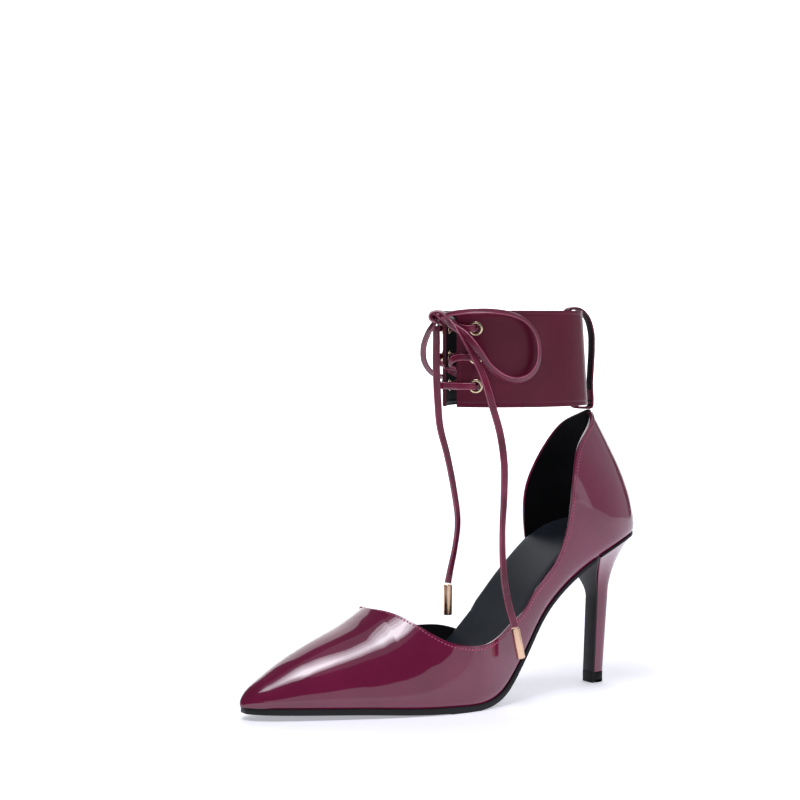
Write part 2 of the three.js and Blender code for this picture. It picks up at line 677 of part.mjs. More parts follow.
function soleGeometry() {
  const rings = [];
  const ringOf = (lateral, medial, down) => {
    const shift = (p) => p.clone().add(down);
    rings.push([lateral, medial, shift(medial), shift(lateral)]);
  };
  for (const share of solePlaces) {
    const x = along(share);
    const slope = (featherHeight(x + 0.5) - featherHeight(x - 0.5));
    const thin = THREE.MathUtils.lerp(waistThinning, 1, ease(share, 0.3, 0.5));
    const thick = (soleThickness - gap) * thin;
    const down = new THREE.Vector3(slope, 0, -1).normalize().multiplyScalar(thick);
    const lateral = insetPoint(x, 1, soleInset);
    const medial = insetPoint(x, -1, soleInset);
    lateral.z = featherHeight(lateral.x) - gap;
    medial.z = featherHeight(medial.x) - gap;
    const ring = [lateral, medial, medial.clone().add(down), lateral.clone().add(down)];
    for (const point of ring.slice(2)) if (point.z < gap) point.z = 0;
    rings.push(ring);
  }
  const flapX = along(seatFront) + gap;
  const shoulder = insetPoint(along(seatFront), 1, seatInset).y;
  const corner = new THREE.Vector3(flapX + gap, 0, featherHeight(flapX) - 2 * gap);
  const bisector = new THREE.Vector3(0.8, 0, -0.6).multiplyScalar(flapThickness);
  ringOf(corner.clone().setY(shoulder), corner.clone().setY(-shoulder), bisector);
  const flapAt = (share, height) => {
    const ring = heelRing(share, height);
    const middle = ring[2 * sideRibs + frontRibs / 2];
    return { x: middle.x + gap, z: middle.z, half: ring[0].y };
  };
  const flap = flapShares.map((share) => flapAt(share, stemHeight));
  for (let i = 1; i <= flapEndRows; i += 1) {
    flap.push(flapAt(1, THREE.MathUtils.lerp(stemHeight, liftHeight + gap, i / flapEndRows) - 1e-6));
  }
  flap.forEach((row, i) => {
    const before = flap[Math.max(i - 1, 0)];
    const after = flap[Math.min(i + 1, flap.length - 1)];
    const forward = new THREE.Vector3(before.z - after.z, 0, after.x - before.x).normalize();
    if (i === flap.length - 1) forward.set(1, 0, 0);
    const down = forward.multiplyScalar(flapThickness);
    ringOf(new THREE.Vector3(row.x, row.half, row.z), new THREE.Vector3(row.x, -row.half, row.z), down);
  });
  return ringBody(rings);
}

// Ankle cuff: half of its plan, from the middle of the back to the front edge
const cuffPlan = [
  { along: 0, across: 0 },
  { along: 0.04, across: 0.44 },
  { along: 0.16, across: 0.80 },
  { along: 0.34, across: 0.975 },
  { along: 0.50, across: 1 },
  { along: 0.66, across: 0.93 },
  { along: 0.80, across: 0.76 },
  { along: 0.92, across: 0.50 },
  { along: 0.995, across: 0.22 },
];
const cuffBack = along(0.1485);
const cuffBottom = seatHeight + counterHeight + cuffClearance;
const cuffTop = cuffBottom + cuffHeight;
const cuffPoint = (row, sign) => [cuffBack + row.along * cuffLength, sign * row.across * cuffWidth / 2];
const cuffLine = planeCurve([
  ...[...cuffPlan].reverse().map((row) => cuffPoint(row, -1)),
  ...cuffPlan.slice(1).map((row) => cuffPoint(row, 1)),
]);
const cuffRound = cuffLine.knots[cuffLine.knots.length - 1];
const cuffSteps = 52;
const frontX = cuffBack + cuffLength;

function cuffAt(distance) {
  const step = 0.05;
  const tangent = new THREE.Vector3(
    cuffLine.first(distance + step) - cuffLine.first(distance - step),
    cuffLine.second(distance + step) - cuffLine.second(distance - step), 0).normalize();
  return {
    point: new THREE.Vector3(cuffLine.first(distance), cuffLine.second(distance), 0),
    outward: new THREE.Vector3(-tangent.y, tangent.x, 0),
  };
}

// Eyelets: rows down from the cuff's top, the same distance back from each front edge
const eyeletSetback = 10;
const eyeletDrops = [9, 23.3, 37.7];
const barrelRadius = eyeletBore / 2 + eyeletWall;
const eyelets = [];
for (const [side, distance] of [['lateral', cuffRound - eyeletSetback], ['medial', eyeletSetback]]) {
  eyeletDrops.forEach((drop, i) => {
    const { point, outward } = cuffAt(distance);
    const ahead = new THREE.Vector3(outward.y, -outward.x, 0).multiplyScalar(side === 'lateral' ? 1 : -1);
    eyelets.push({ name: `eyelet_${side}_${i + 1}`, centre: point.setZ(cuffTop - drop), outward, ahead });
  });
}

// Manifold bodies for cuts and joins
function manifoldOf(geometry) {
  const bare = geometry.clone();
  for (const name of Object.keys(bare.attributes)) if (name !== 'position') bare.deleteAttribute(name);
  const merged = mergeVertices(bare, 1e-4);
  return new wasm.Manifold(new wasm.Mesh({
    numProp: 3,
    vertProperties: new Float32Array(merged.attributes.position.array),
    triVerts: new Uint32Array(merged.index.array),
  }));
}
function geometryFrom(manifold) {
  const mesh = manifold.getMesh();
  const geometry = new THREE.BufferGeometry();
  geometry.setAttribute('position', new THREE.Float32BufferAttribute(mesh.vertProperties, 3));
  geometry.setIndex(new THREE.Uint32BufferAttribute(mesh.triVerts, 1));
  geometry.computeVertexNormals();
  return geometry;
}

const yAxis = new THREE.Vector3(0, 1, 0);

function cuffGeometry() {
  const outside = [];
  const lining = [];
  for (let i = 0; i <= cuffSteps; i += 1) {
    const { point, outward } = cuffAt(cuffRound * i / cuffSteps);
    outside.push(point.clone().addScaledVector(outward, cuffWall / 2));
    lining.push(point.clone().addScaledVector(outward, -cuffWall / 2));
  }
  const shape = new THREE.Shape([...outside, ...lining.reverse()].map((p) => new THREE.Vector2(p.x, p.y)));
  const band = new THREE.ExtrudeGeometry(shape, { depth: cuffHeight, bevelEnabled: false });
  const corners = band.attributes.position;
  for (let i = 0; i < corners.count; i += 1) {
    const drawn = 1 - cuffTaper * corners.getZ(i) / cuffHeight;
    corners.setX(i, frontX - (frontX - corners.getX(i)) * drawn);
  }
  band.translate(0, 0, cuffBottom);
  let body = manifoldOf(band);
  for (const { centre, outward } of eyelets) {
    const punch = new THREE.CylinderGeometry(barrelRadius + gap, barrelRadius + gap, 6 * cuffWall, 14);
    punch.applyQuaternion(new THREE.Quaternion().setFromUnitVectors(yAxis, outward));
    punch.translate(centre.x, centre.y, centre.z);
    body = body.subtract(manifoldOf(punch));
  }
  return geometryFrom(body);
}

// One eyelet: a barrel with a rolled rim outside and a flat one inside
function eyeletGeometry() {
  const bore = eyeletBore / 2;
  const rim = eyeletDiameter / 2;
  const back = -cuffWall / 2 - 2 * gap;
  const face = cuffWall / 2 + gap;
  const profile = [
    [bore, back - eyeletWall], [rim * 0.88, back - eyeletWall], [rim * 0.88, back], [barrelRadius, back],
    [barrelRadius, face], [rim, face], [rim, face + eyeletWall * 0.5], [rim * 0.85, face + eyeletWall],
    [bore, face + eyeletWall], [bore, back - eyeletWall],
  ].map(([radius, height]) => new THREE.Vector2(radius, height));
  return new THREE.LatheGeometry(profile, 10);
}

// Belt loop round the back of the cuff: centre line ahead of the counter's back, and over its top
const loopFoot = seatHeight + counterHeight + 2 * gap + loopThickness / 2;
const loopTop = cuffTop + loopThickness / 2 + 2 * gap;
const loopLine = [
  { at: 0.1115, up: 0.005 }, { at: 0.1095, up: 0.06 }, { at: 0.1115, up: 0.24 }, { at: 0.1090, up: 0.42 },
  { at: 0.1068, up: 0.6 }, { at: 0.1085, up: 0.76 }, { at: 0.1200, up: 0.9 }, { at: 0.1370, up: 0.975 },
  { at: 0.1520, up: 1 }, { at: 0.1660, up: 1 }, { at: 0.1772, up: 0.975 }, { at: 0.1805, up: 0.88 },
  { at: 0.1725, up: 0.5 }, { at: 0.1640, up: 0.12 }, { at: 0.1580, up: 0.02 }, { at: 0.1320, up: -0.004 },
];

function cuffLoopGeometry() {
  const heightOf = (row) => loopFoot + row.up * (loopTop - loopFoot);
  const points = loopLine.map((row) => new THREE.Vector3(along(row.at), 0, heightOf(row)));
  const line = new THREE.CatmullRomCurve3(points, true, 'centripetal');
  const count = 44;
  const rings = [];
  for (let i = 0; i <= count; i += 1) {
    const point = line.getPointAt((i % count) / count);
    const tangent = line.getTangentAt((i % count) / count);
    const away = new THREE.Vector3(-tangent.z, 0, tangent.x);
    const corner = (out, side) => (
      point.clone().addScaledVector(away, out * loopThickness / 2).setY(side * loopWidth / 2));
    rings.push([corner(1, 1), corner(-1, 1), corner(-1, -1), corner(1, -1), corner(1, 1)]);
  }
  return geometryOf(sheet(rings));
}

// A length of lace: an eight-sided cord along a smooth line of points
function cordGeometry(points, steps) {
  const section = new THREE.Shape();
  const corners = [];
  for (let i = 0; i < 8; i += 1) {
    const angle = (i + 0.5) * Math.PI / 4;
    corners.push(new THREE.Vector2(Math.cos(angle), Math.sin(angle)).multiplyScalar(laceDiameter / 2));
  }
  section.setFromPoints(corners);
  const line = points.map((p) => (p.isVector3 ? p : new THREE.Vector3(...p)));
  const path = new THREE.CatmullRomCurve3(line, false, 'centripetal');
  return new THREE.ExtrudeGeometry(section, { steps, bevelEnabled: false, extrudePath: path });
}

// Lacing: a bar in front, then each side crosses behind the gap and comes out at the next row up
const knotAt = [4.5, -2, 192.2];
const knotRadius = 3.2;
const overRim = cuffWall / 2 + gap + eyeletWall + gap + laceDiameter / 2;
const eyeletNamed = (side, row) => eyelets.find((eyelet) => eyelet.name === `eyelet_${side}_${row}`);
const threaded = (side, row, out, ahead = 0) => {
  const { centre, outward, ahead: forward } = eyeletNamed(side, row);
  return centre.clone().addScaledVector(outward, out).addScaledVector(forward, ahead);
};
const frontPoint = (forward, across, row, rise = 0) => (
  new THREE.Vector3(frontX + forward, across, cuffTop - eyeletDrops[row - 1] + rise));

// Straight through an eyelet from behind, then over its rim towards the front edge
const outOf = (side, row) => [
  threaded(side, row, -overRim - 0.8), threaded(side, row, -1.4), threaded(side, row, 1.4),
  threaded(side, row, overRim, 0.9), threaded(side, row, overRim + 0.5, 4.2),
  threaded(side, row, overRim, 8.4),
];

function crossingsGeometry() {
  const bar = [
    ...outOf('lateral', 3),
    frontPoint(2.6, 3.4, 3), frontPoint(2.8, -0.5, 3), frontPoint(2.6, -3.9, 3),
    ...outOf('medial', 3).reverse(),
  ];
  const crossed = (from, to, sign) => [
    threaded(from, 3, -overRim - 0.8), frontPoint(-12, -sign * 0.2, 3, 6.8), ...outOf(to, 2),
    frontPoint(2, -sign * 3.8, 2, -0.6), frontPoint(-1, -sign * 2.6, 2, sign * 0.4 - 0.8),
    frontPoint(-7, sign * 1.2, 2, 4), ...outOf(from, 1).slice(0, 5),
    frontPoint(2.6, sign * 6.4 - 0.5, 1, 1.6),
  ];
  const body = manifoldOf(cordGeometry(bar, 22))
    .add(manifoldOf(cordGeometry(crossed('lateral', 'medial', 1), 34)))
    .add(manifoldOf(cordGeometry(crossed('medial', 'lateral', -1), 34)));
  return geometryFrom(body);
}

// The free lace, by hand: its two bow loops and its two hanging ends
const laceRoutes = {
  lace_loop_lateral: { steps: 18, points: [
    [4.9, 2.1, 193], [3.2, 8, 194.2], [-3.2, 16.4, 195.2], [-11.3, 23, 195.2], [-19.3, 27.2, 193.8],
    [-26.7, 30, 190.2], [-31.3, 31.6, 184], [-33, 32, 177], [-32, 32, 169], [-28, 31.6, 163.8],
    [-21.2, 31, 161.4], [-14.1, 30, 162.6], [-6.9, 27.5, 167.9], [-2.1, 24, 176.2], [1, 16.6, 183.9],
    [3.6, 9, 188.2], [4.2, 5, 190.4], [4.5, 2.1, 191],
  ] },
  lace_loop_medial: { steps: 18, points: [
    [3.6, -6.2, 193.6], [-3.5, -15, 197.2], [-13.5, -25, 197], [-23.5, -30.4, 193], [-30.5, -33, 186],
    [-33, -34, 177], [-31, -34, 169], [-25.5, -33.5, 163.5], [-17.5, -32.5, 161.5], [-10, -31, 163.5],
    [-3, -27.5, 169.5], [1, -22, 177], [3, -15, 183.6], [4, -9, 187.8], [4, -6, 190],
  ] },
  lace_end_lateral: { steps: 18, points: [
    [6.55, -0.1, 190.2], [7.4, 6.2, 186.4], [5.2, 14.6, 178.4], [1.6, 21.6, 169],
    [-2.6, 26, 159], [-6, 28.5, 150.7],
    [-10.2, 31, 135.4], [-11.7, 32.5, 120.7], [-11, 33.5, 104.5], [-9.1, 35, 88.5], [-8.5, 36, 76.3],
    [-8.8, 37, 64.1], [-10.6, 38, 51.7], [-13.9, 39, 40.6],
  ] },
  lace_end_medial: { steps: 14, points: [
    [4.6, -4.4, 188], [4, -5, 180.9], [4.1, -5, 170.8], [3.8, -5, 160.8], [3.2, -5, 150.7], [1.8, -5, 137.3],
    [-2.4, -5, 123], [-6.4, -5, 106], [-8.9, -5, 88.9], [-7.4, -5, 76.4], [-4.4, -5, 63.9], [-3, -5, 57.7],
  ] },
};
const agletEnds = {
  aglet_lateral: { from: [-14, 39.02, 40.2], towards: [-16.7, 40, 25.3] },
  aglet_medial: { from: [-3, -5, 57.3], towards: [-2.9, -5, 41.8] },
};

function knotGeometry() {
  const lump = new THREE.SphereGeometry(knotRadius, 10, 8);
  lump.scale(0.8, 1.1, 0.85);
  lump.translate(...knotAt);
  return lump;
}

function agletGeometry({ from, towards }) {
  const start = new THREE.Vector3(...from);
  const direction = new THREE.Vector3(...towards).sub(start).normalize();
  const tube = new THREE.CylinderGeometry(agletDiameter / 2, agletDiameter / 2, agletLength, 12);
  tube.applyQuaternion(new THREE.Quaternion().setFromUnitVectors(yAxis, direction));
  const centre = start.addScaledVector(direction, agletLength / 2 + gap);
  tube.translate(centre.x, centre.y, centre.z);
  return tube;
}

const finish = (color, roughness, metalness = 0) => (
  new THREE.MeshStandardMaterial({ color, roughness, metalness }));
const wine = 0x6e1238;
const black = 0x141416;
const gold = 0xd9b98a;
const roseGold = 0xc89a72;

const group = new THREE.Group();
function addPiece(name, geometry, material) {
  const mesh = new THREE.Mesh(geometry, material);
  mesh.name = name;
  group.add(mesh);
  return mesh;
}

addPiece('outsole', soleGeometry(), finish(black, 0.5));
addPiece('heel_block', heelGeometry(), finish(wine, 0.12));
addPiece('heel_lift', liftGeometry(), finish(black, 0.55));
addPiece('insole_board', boardGeometry(), finish(wine, 0.15));
addPiece('insole_sock', sockGeometry(), finish(0x2b3036, 0.6));
addPiece('upper', upperGeometry(), finish(wine, 0.12));
addPiece('ankle_cuff', cuffGeometry(), finish(0x54182c, 0.42));
for (const { name, centre, outward } of eyelets) {
  const ring = addPiece(name, eyeletGeometry(), finish(gold, 0.25, 1));
  ring.quaternion.setFromUnitVectors(yAxis, outward);
  ring.position.copy(centre);
}
addPiece('cuff_loop', cuffLoopGeometry(), finish(wine, 0.3));
addPiece('lace_crossings', crossingsGeometry(), finish(wine, 0.35));
addPiece('lace_knot', knotGeometry(), finish(wine, 0.35));
for (const [name, route] of Object.entries(laceRoutes)) {
  addPiece(name, cordGeometry(route.points, route.steps), finish(wine, 0.35));
}
for (const [name, ends] of Object.entries(agletEnds)) {
  addPiece(name, agletGeometry(ends), finish(roseGold, 0.25, 1));
}

export default group;
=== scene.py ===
# A left stiletto shoe with a laced ankle cuff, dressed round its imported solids
import math

import bpy
import numpy as np
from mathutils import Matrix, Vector


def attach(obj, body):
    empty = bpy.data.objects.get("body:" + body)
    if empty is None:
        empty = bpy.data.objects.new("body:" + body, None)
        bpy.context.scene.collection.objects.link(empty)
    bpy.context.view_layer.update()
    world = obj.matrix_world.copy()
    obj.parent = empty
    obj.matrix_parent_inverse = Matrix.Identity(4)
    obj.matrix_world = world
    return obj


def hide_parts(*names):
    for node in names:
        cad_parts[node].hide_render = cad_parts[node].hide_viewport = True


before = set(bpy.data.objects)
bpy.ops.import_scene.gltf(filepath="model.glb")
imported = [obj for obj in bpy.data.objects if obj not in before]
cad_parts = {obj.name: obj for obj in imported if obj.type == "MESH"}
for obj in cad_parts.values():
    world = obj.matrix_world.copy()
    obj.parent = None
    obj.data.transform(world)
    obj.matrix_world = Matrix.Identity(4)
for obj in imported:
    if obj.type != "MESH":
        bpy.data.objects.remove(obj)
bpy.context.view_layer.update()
mm = 0.001
print("frame loaded")

# The camera stands where the photograph was taken from
cameraPlace = {"at": (537.43, 834.11, 191.33), "ahead": (-0.5204, -0.8529, -0.0408), "lens": 88.95}
cameraData = bpy.data.cameras.new("photoCamera")
cameraData.lens = cameraPlace["lens"]
cameraData.clip_start, cameraData.clip_end = 0.05, 30
camera = bpy.data.objects.new("photoCamera", cameraData)
bpy.context.scene.collection.objects.link(camera)
camera.location = Vector(cameraPlace["at"]) * mm
camera.rotation_euler = Vector(cameraPlace["ahead"]).to_track_quat("-Z", "Y").to_euler()
bpy.context.scene.camera = camera
towardCamera = -Vector(cameraPlace["ahead"])

# Main sizes, millimetres, as in the solids
shoe = {
    "length": 228, "ballWidth": 74, "seatHeight": 80, "counterHeight": 64, "vampHeight": 45,
    "soleThickness": 3.4, "wall": 1.6, "board": 9, "sock": 1.2, "bulge": 0.29, "gap": 0.3,
}
halfBall = shoe["ballWidth"] / 2
gap = shoe["gap"]


def along(share):
    return (share - 0.5) * shoe["length"] + shoe["bulge"]


def shareAt(x):
    return (x - shoe["bulge"]) / shoe["length"] + 0.5


def lerp(a, b, t):
    return a + (b - a) * t


def ease(x, low, high):
    t = min(max((x - low) / (high - low), 0), 1)
    return t * t * (3 - 2 * t)


# A smooth curve through a few values: a natural cubic
def smooth(knots, values):
    count = len(knots)
    bend, carry = [0.0] * count, [0.0] * count
    for i in range(1, count - 1):
        before, after = knots[i] - knots[i - 1], knots[i + 1] - knots[i]
        turn = (values[i + 1] - values[i]) / after - (values[i] - values[i - 1]) / before
        weight = 2 * (before + after) - before * bend[i - 1]
        bend[i] = after / weight
        carry[i] = (6 * turn - before * carry[i - 1]) / weight
    curve = [0.0] * count
    for i in range(count - 2, 0, -1):
        curve[i] = carry[i] - bend[i] * curve[i + 1]

    def value(at):
        i = 0
        while i < count - 2 and at > knots[i + 1]:
            i += 1
        span = knots[i + 1] - knots[i]
        b = (at - knots[i]) / span
        a = 1 - b
        swing = ((a ** 3 - a) * curve[i] + (b ** 3 - b) * curve[i + 1]) * span * span / 6
        return a * values[i] + b * values[i + 1] + swing

    return value


def planeCurve(points):
    knots = [0.0]
    for p, q in zip(points, points[1:]):
        knots.append(knots[-1] + math.hypot(q[0] - p[0], q[1] - p[1]))
    return knots, smooth(knots, [p[0] for p in points]), smooth(knots, [p[1] for p in points])


def crossing(curve, target, low, high):
    rising = curve(high) > curve(low)
    for _ in range(40):
        middle = (low + high) / 2
        if (curve(middle) < target) == rising:
            low = middle
        else:
            high = middle
    return (low + high) / 2


# Plan of the last at the feather edge: share of length, outer side, inner side
plan = [
    (0, 0, 0), (0.0074, 0.175, -0.175), (0.022, 0.315, -0.315), (0.0477, 0.455, -0.455),
    (0.0846, 0.575, -0.575), (0.1237, 0.636, -0.632), (0.1873, 0.624, -0.618), (0.2662, 0.608, -0.585),
    (0.3408, 0.668, -0.607), (0.4067, 0.782, -0.700), (0.4723, 0.925, -0.845), (0.5469, 1, -0.968),
    (0.6171, 0.967, -1), (0.6917, 0.854, -0.932), (0.7794, 0.662, -0.797), (0.8651, 0.442, -0.640),
    (0.9264, 0.268, -0.506), (0.9673, 0.124, -0.388), (0.9877, 0.012, -0.294), (1, -0.145, -0.145),
]
feather = [
    (0, 1), (0.0514, 0.979), (0.104, 0.935), (0.161, 0.859), (0.2224, 0.743), (0.2749, 0.618),
    (0.3188, 0.481), (0.3628, 0.303), (0.3978, 0.178), (0.4329, 0.080), (0.4681, 0.027), (0.5031, 0.004),
    (0.5601, 0.001), (0.6478, 0.007), (0.7574, 0.023), (0.8856, 0.033), (1, 0.042),
]
ridge = [
    (1, 0), (0.9877, 0.14), (0.951, 0.285), (0.9059, 0.43), (0.8594, 0.552), (0.8113, 0.665),
    (0.761, 0.775), (0.7224, 0.88), (0.6917, 0.98), (0.6478, 1.11),
]
footbed = [
    (0, 0.80), (0.0492, 0.92), (0.0996, 1.12), (0.1434, 1.40), (0.196, 1.76), (0.2443, 1.84),
    (0.2969, 1.82), (0.3276, 1.90), (0.3627, 2.02), (0.389, 2.04), (0.4154, 1.92), (0.4417, 1.66),
    (0.4724, 1.22), (0.5163, 0.76), (0.56, 0.50), (0.6259, 0.42), (0.7574, 0.38), (1, 0.36),
]
ridgeSide = -0.155

# Wall sections: foot, side of the shoe, lean, side, height, edge, arch, low, high, turn
outerWall = [
    (0.6346, 1, -0.004, -0.03, 0.83, 0.585, 1, 0.02, 0, 0),
    (0.5819, 1, 0, 0.42, 0.82, 0.480, 0.9, 0.03, 0.03, 0),
    (0.5293, 1, 0.004, 0.83, 0.77, 0.452, 0.6, 0.05, 0.05, 0),
    (0.4768, 1, 0.010, 0.885, 0.68, 0.446, 0.35, 0.04, 0.04, 0),
    (0.4329, 1, 0.017, 0.85, 0.57, 0.430, 0.2, 0.04, 0.03, 0),
    (0.3934, 1, 0.023, 0.80, 0.435, 0.365, 0.1, 0.04, 0.03, 0),
    (0.354, 1, 0.028, 0.755, 0.30, 0.265, 0, 0.04, 0.03, 0),
    (0.3101, 1, 0.035, 0.715, 0.20, 0.2, 0, 0.04, 0.03, 0),
    (0.2662, 1, 0.045, 0.70, 0.155, 0.155, 0, 0.05, 0.03, 0),
    (0.2224, 1, 0.058, 0.70, 0.18, 0.18, 0, 0.06, 0.04, 0),
    (0.1785, 1, 0.079, 0.70, 0.275, 0.275, 0, 0.08, 0.05, 2),
    (0.1354, 1, 0.110, 0.70, 0.415, 0.415, 0, 0.11, 0.07, 6),
    (0.0963, 1, 0.138, 0.675, 0.60, 0.60, 0, 0.16, 0.10, 16),
    (0.0624, 1, 0.147, 0.56, 0.75, 0.75, 0, 0.185, 0.125, 32),
    (0.033, 1, 0.136, 0.38, 0.845, 0.845, 0, 0.225, 0.15, 52),
    (0.011, 1, 0.120, 0.2, 0.93, 0.93, 0, 0.245, 0.165, 72),
    (0, 1, 0.110, -0.02, 1, 1, 0, 0.235, 0.165, 90),
    (0.011, -1, 0.115, -0.2, 0.965, 0.965, 0, 0.245, 0.165, 108),
    (0.033, -1, 0.116, -0.36, 0.905, 0.905, 0, 0.225, 0.15, 128),
    (0.0624, -1, 0.111, -0.52, 0.77, 0.77, 0, 0.185, 0.125, 148),
    (0.0963, -1, 0.102, -0.625, 0.61, 0.61, 0, 0.15, 0.10, 164),
    (0.1275, -1, 0.088, -0.68, 0.46, 0.46, 0, 0.10, 0.07, 174),
    (0.1565, -1, 0.064, -0.69, 0.32, 0.32, 0, 0.07, 0.05, 178),
    (0.1829, -1, 0.036, -0.675, 0.195, 0.195, 0, 0.05, 0.03, 180),
    (0.203, -1, 0.012, -0.64, 0.085, 0.085, 0, 0.02, 0.01, 180),
    (0.2114, -1, 0.001, -0.618, 0.03, 0.03, 0, 0, 0, 180),
]
innerWall = [
    (0.6346, -1, -0.004, -0.32, 0.83, 0.56, 1, 0.02, 0, 180),
    (0.5819, -1, 0, -0.65, 0.82, 0.500, 0.9, 0.03, 0.02, 180),
    (0.5293, -1, 0, -0.86, 0.76, 0.468, 0.6, 0.04, 0.03, 180),
    (0.4768, -1, 0, -0.83, 0.66, 0.440, 0.3, 0.03, 0.03, 180),
    (0.4373, -1, 0, -0.76, 0.52, 0.370, 0.2, 0.02, 0.02, 180),
    (0.411, -1, 0, -0.71, 0.40, 0.265, 0.1, 0.01, 0.01, 180),
    (0.3934, -1, 0, -0.68, 0.30, 0.16, 0, 0.01, 0.01, 180),
    (0.3802, -1, 0, -0.66, 0.2, 0.04, 0, 0, 0, 180),
]
throatAt = 0.6917
overlapRows = 4


def planPoint(row, side):
    return (along(row[0]), (row[1] if side > 0 else row[2]) * halfBall)


planRing = (
    [planPoint(r, 1) for r in plan[-1 - overlapRows:-1]]
    + [planPoint(r, -1) for r in reversed(plan)]
    + [planPoint(r, 1) for r in plan[1:]]
    + [planPoint(r, -1) for r in reversed(plan[-1 - overlapRows:-1])]
)
outlineKnots, outlineX, outlineY = planeCurve(planRing)
tipKnot = outlineKnots[overlapRows]
backKnot = outlineKnots[overlapRows + len(plan) - 1]
endKnot = outlineKnots[overlapRows + 2 * len(plan) - 2]


def outlineKnot(x, sign):
    return crossing(outlineX, x, backKnot, endKnot) if sign > 0 else crossing(outlineX, x, tipKnot, backKnot)


def outwardAt(knot):
    step = 0.05
    dx = outlineX(knot + step) - outlineX(knot - step)
    dy = outlineY(knot + step) - outlineY(knot - step)
    return Vector((-dy, dx, 0)).normalized()


featherRise = smooth([r[0] for r in feather], [r[1] for r in feather])
footbedRise = smooth([r[0] for r in footbed], [r[1] for r in footbed])


def featherHeight(x):
    return shoe["soleThickness"] + (shoe["seatHeight"] - shoe["soleThickness"]) * featherRise(shareAt(x))


def footbedHeight(x):
    return featherHeight(x) + footbedRise(shareAt(x)) * shoe["board"]


ridgeRing = (
    [(along(a), -h * shoe["vampHeight"]) for a, h in reversed(ridge[1:1 + overlapRows])]
    + [(along(a), h * shoe["vampHeight"]) for a, h in ridge]
)
ridgeKnots, ridgeX, ridgeZ = planeCurve(ridgeRing)


def ridgeAt(x):
    knot = crossing(ridgeX, x, ridgeKnots[overlapRows], ridgeKnots[-1])
    return Vector((x, ridgeSide * halfBall, featherHeight(x) + ridgeZ(knot)))


def wallCurves(rows, sign):
    foots, columns = [], [[] for _ in range(8)]
    for share in (0.8048, 0.7653, 0.7268, throatAt):
        x = along(share)
        foots.append(outlineKnot(x, sign))
        top = (ridgeAt(x).z - featherHeight(x)) / shoe["counterHeight"]
        for column, value in zip(columns, (0, ridgeSide, top, top, 1, 0.02, 0, 0 if sign > 0 else 180)):
            column.append(value)
    for row in rows:
        foots.append(outlineKnot(along(row[0]), row[1]))
        for column, value in zip(columns, row[2:]):
            column.append(value)
    knots = [-k for k in foots] if sign > 0 else foots
    return [smooth(knots, column) for column in columns]


walls = {1: wallCurves(outerWall, 1), -1: wallCurves(innerWall, -1)}


# One section of the last: a Bezier curve from its foot to its crown
def lastSection(foot, crown, arch, low, high, turn):
    facing = math.radians(turn)
    outward = Vector((-math.sin(facing), math.cos(facing), 0))
    chord = crown - foot
    reach = -chord.dot(outward)
    roundness = 0.2190
    first = foot + chord / 3 + outward * (arch * reach / 3 + low * halfBall)
    first.z += arch * roundness * chord.z
    second = foot + chord * 2 / 3 + outward * (arch * roundness * reach + high * halfBall)
    second.z += arch * chord.z / 3
    return lambda u: (foot * (1 - u) ** 3 + first * (3 * u * (1 - u) ** 2)
                      + second * (3 * u * u * (1 - u)) + crown * u ** 3)


def footAt(knot):
    x = outlineX(knot)
    return Vector((x, outlineY(knot), featherHeight(x)))


def toeSection(x, sign):
    return lastSection(footAt(outlineKnot(x, sign)), ridgeAt(x), 1, 0.02, 0, 0 if sign > 0 else 180), 1.0


def wallSection(knot, side):
    lean, sideways, height, edge, arch, low, high, turn = (c(-knot if side > 0 else knot) for c in walls[side])
    foot = footAt(knot)
    crown = Vector((foot.x + lean * shoe["length"], sideways * halfBall, foot.z + height * shoe["counterHeight"]))
    section = lastSection(foot, crown, arch, low, high, turn)
    edgeHeight = foot.z + min(edge, height) * shoe["counterHeight"]
    return section, crossing(lambda u: section(u).z, edgeHeight, 0, 1)


# Sheets start as a grid and take their places from a table of points
def gridSheet(name, grid, closed=False):
    columns, rows = len(grid) - 1, len(grid[0]) - 1
    bpy.ops.object.select_all(action="DESELECT")
    bpy.ops.mesh.primitive_grid_add(x_subdivisions=columns, y_subdivisions=rows, size=1)
    piece = bpy.context.object
    piece.name = piece.data.name = name
    for vertex in piece.data.vertices:
        i, j = round((vertex.co.x + 0.5) * columns), round((vertex.co.y + 0.5) * rows)
        vertex.co = Vector(grid[i][j]) * mm
    return piece


def editAll(piece, work):
    bpy.ops.object.select_all(action="DESELECT")
    piece.select_set(True)
    bpy.context.view_layer.objects.active = piece
    bpy.ops.object.mode_set(mode="EDIT")
    bpy.ops.mesh.select_all(action="SELECT")
    work()
    bpy.ops.object.mode_set(mode="OBJECT")


def mergeDoubles(piece, distance=0.00001):
    editAll(piece, lambda: bpy.ops.mesh.remove_doubles(threshold=distance))


def closeEnds(piece):
    def work():
        bpy.ops.mesh.remove_doubles(threshold=0.000005)
        bpy.ops.mesh.select_all(action="DESELECT")
        bpy.ops.mesh.select_non_manifold(extend=False, use_wire=False, use_boundary=True,
                                         use_multi_face=False, use_non_contiguous=False, use_verts=False)
        bpy.ops.mesh.fill()
        bpy.ops.mesh.select_all(action="SELECT")
        bpy.ops.mesh.normals_make_consistent(inside=False)
    editAll(piece, work)


def closeRound(piece):
    def work():
        bpy.ops.mesh.remove_doubles(threshold=0.000005)
        bpy.ops.mesh.normals_make_consistent(inside=False)
    editAll(piece, work)


def applied(piece, kind, **settings):
    bpy.context.view_layer.objects.active = piece
    modifier = piece.modifiers.new(kind.lower(), kind)
    for key, value in settings.items():
        setattr(modifier, key, value)
    bpy.ops.object.modifier_apply(modifier=modifier.name)


def smoothShade(piece, angle=40):
    bpy.ops.object.select_all(action="DESELECT")
    piece.select_set(True)
    bpy.context.view_layer.objects.active = piece
    bpy.ops.object.shade_smooth_by_angle(angle=math.radians(angle))


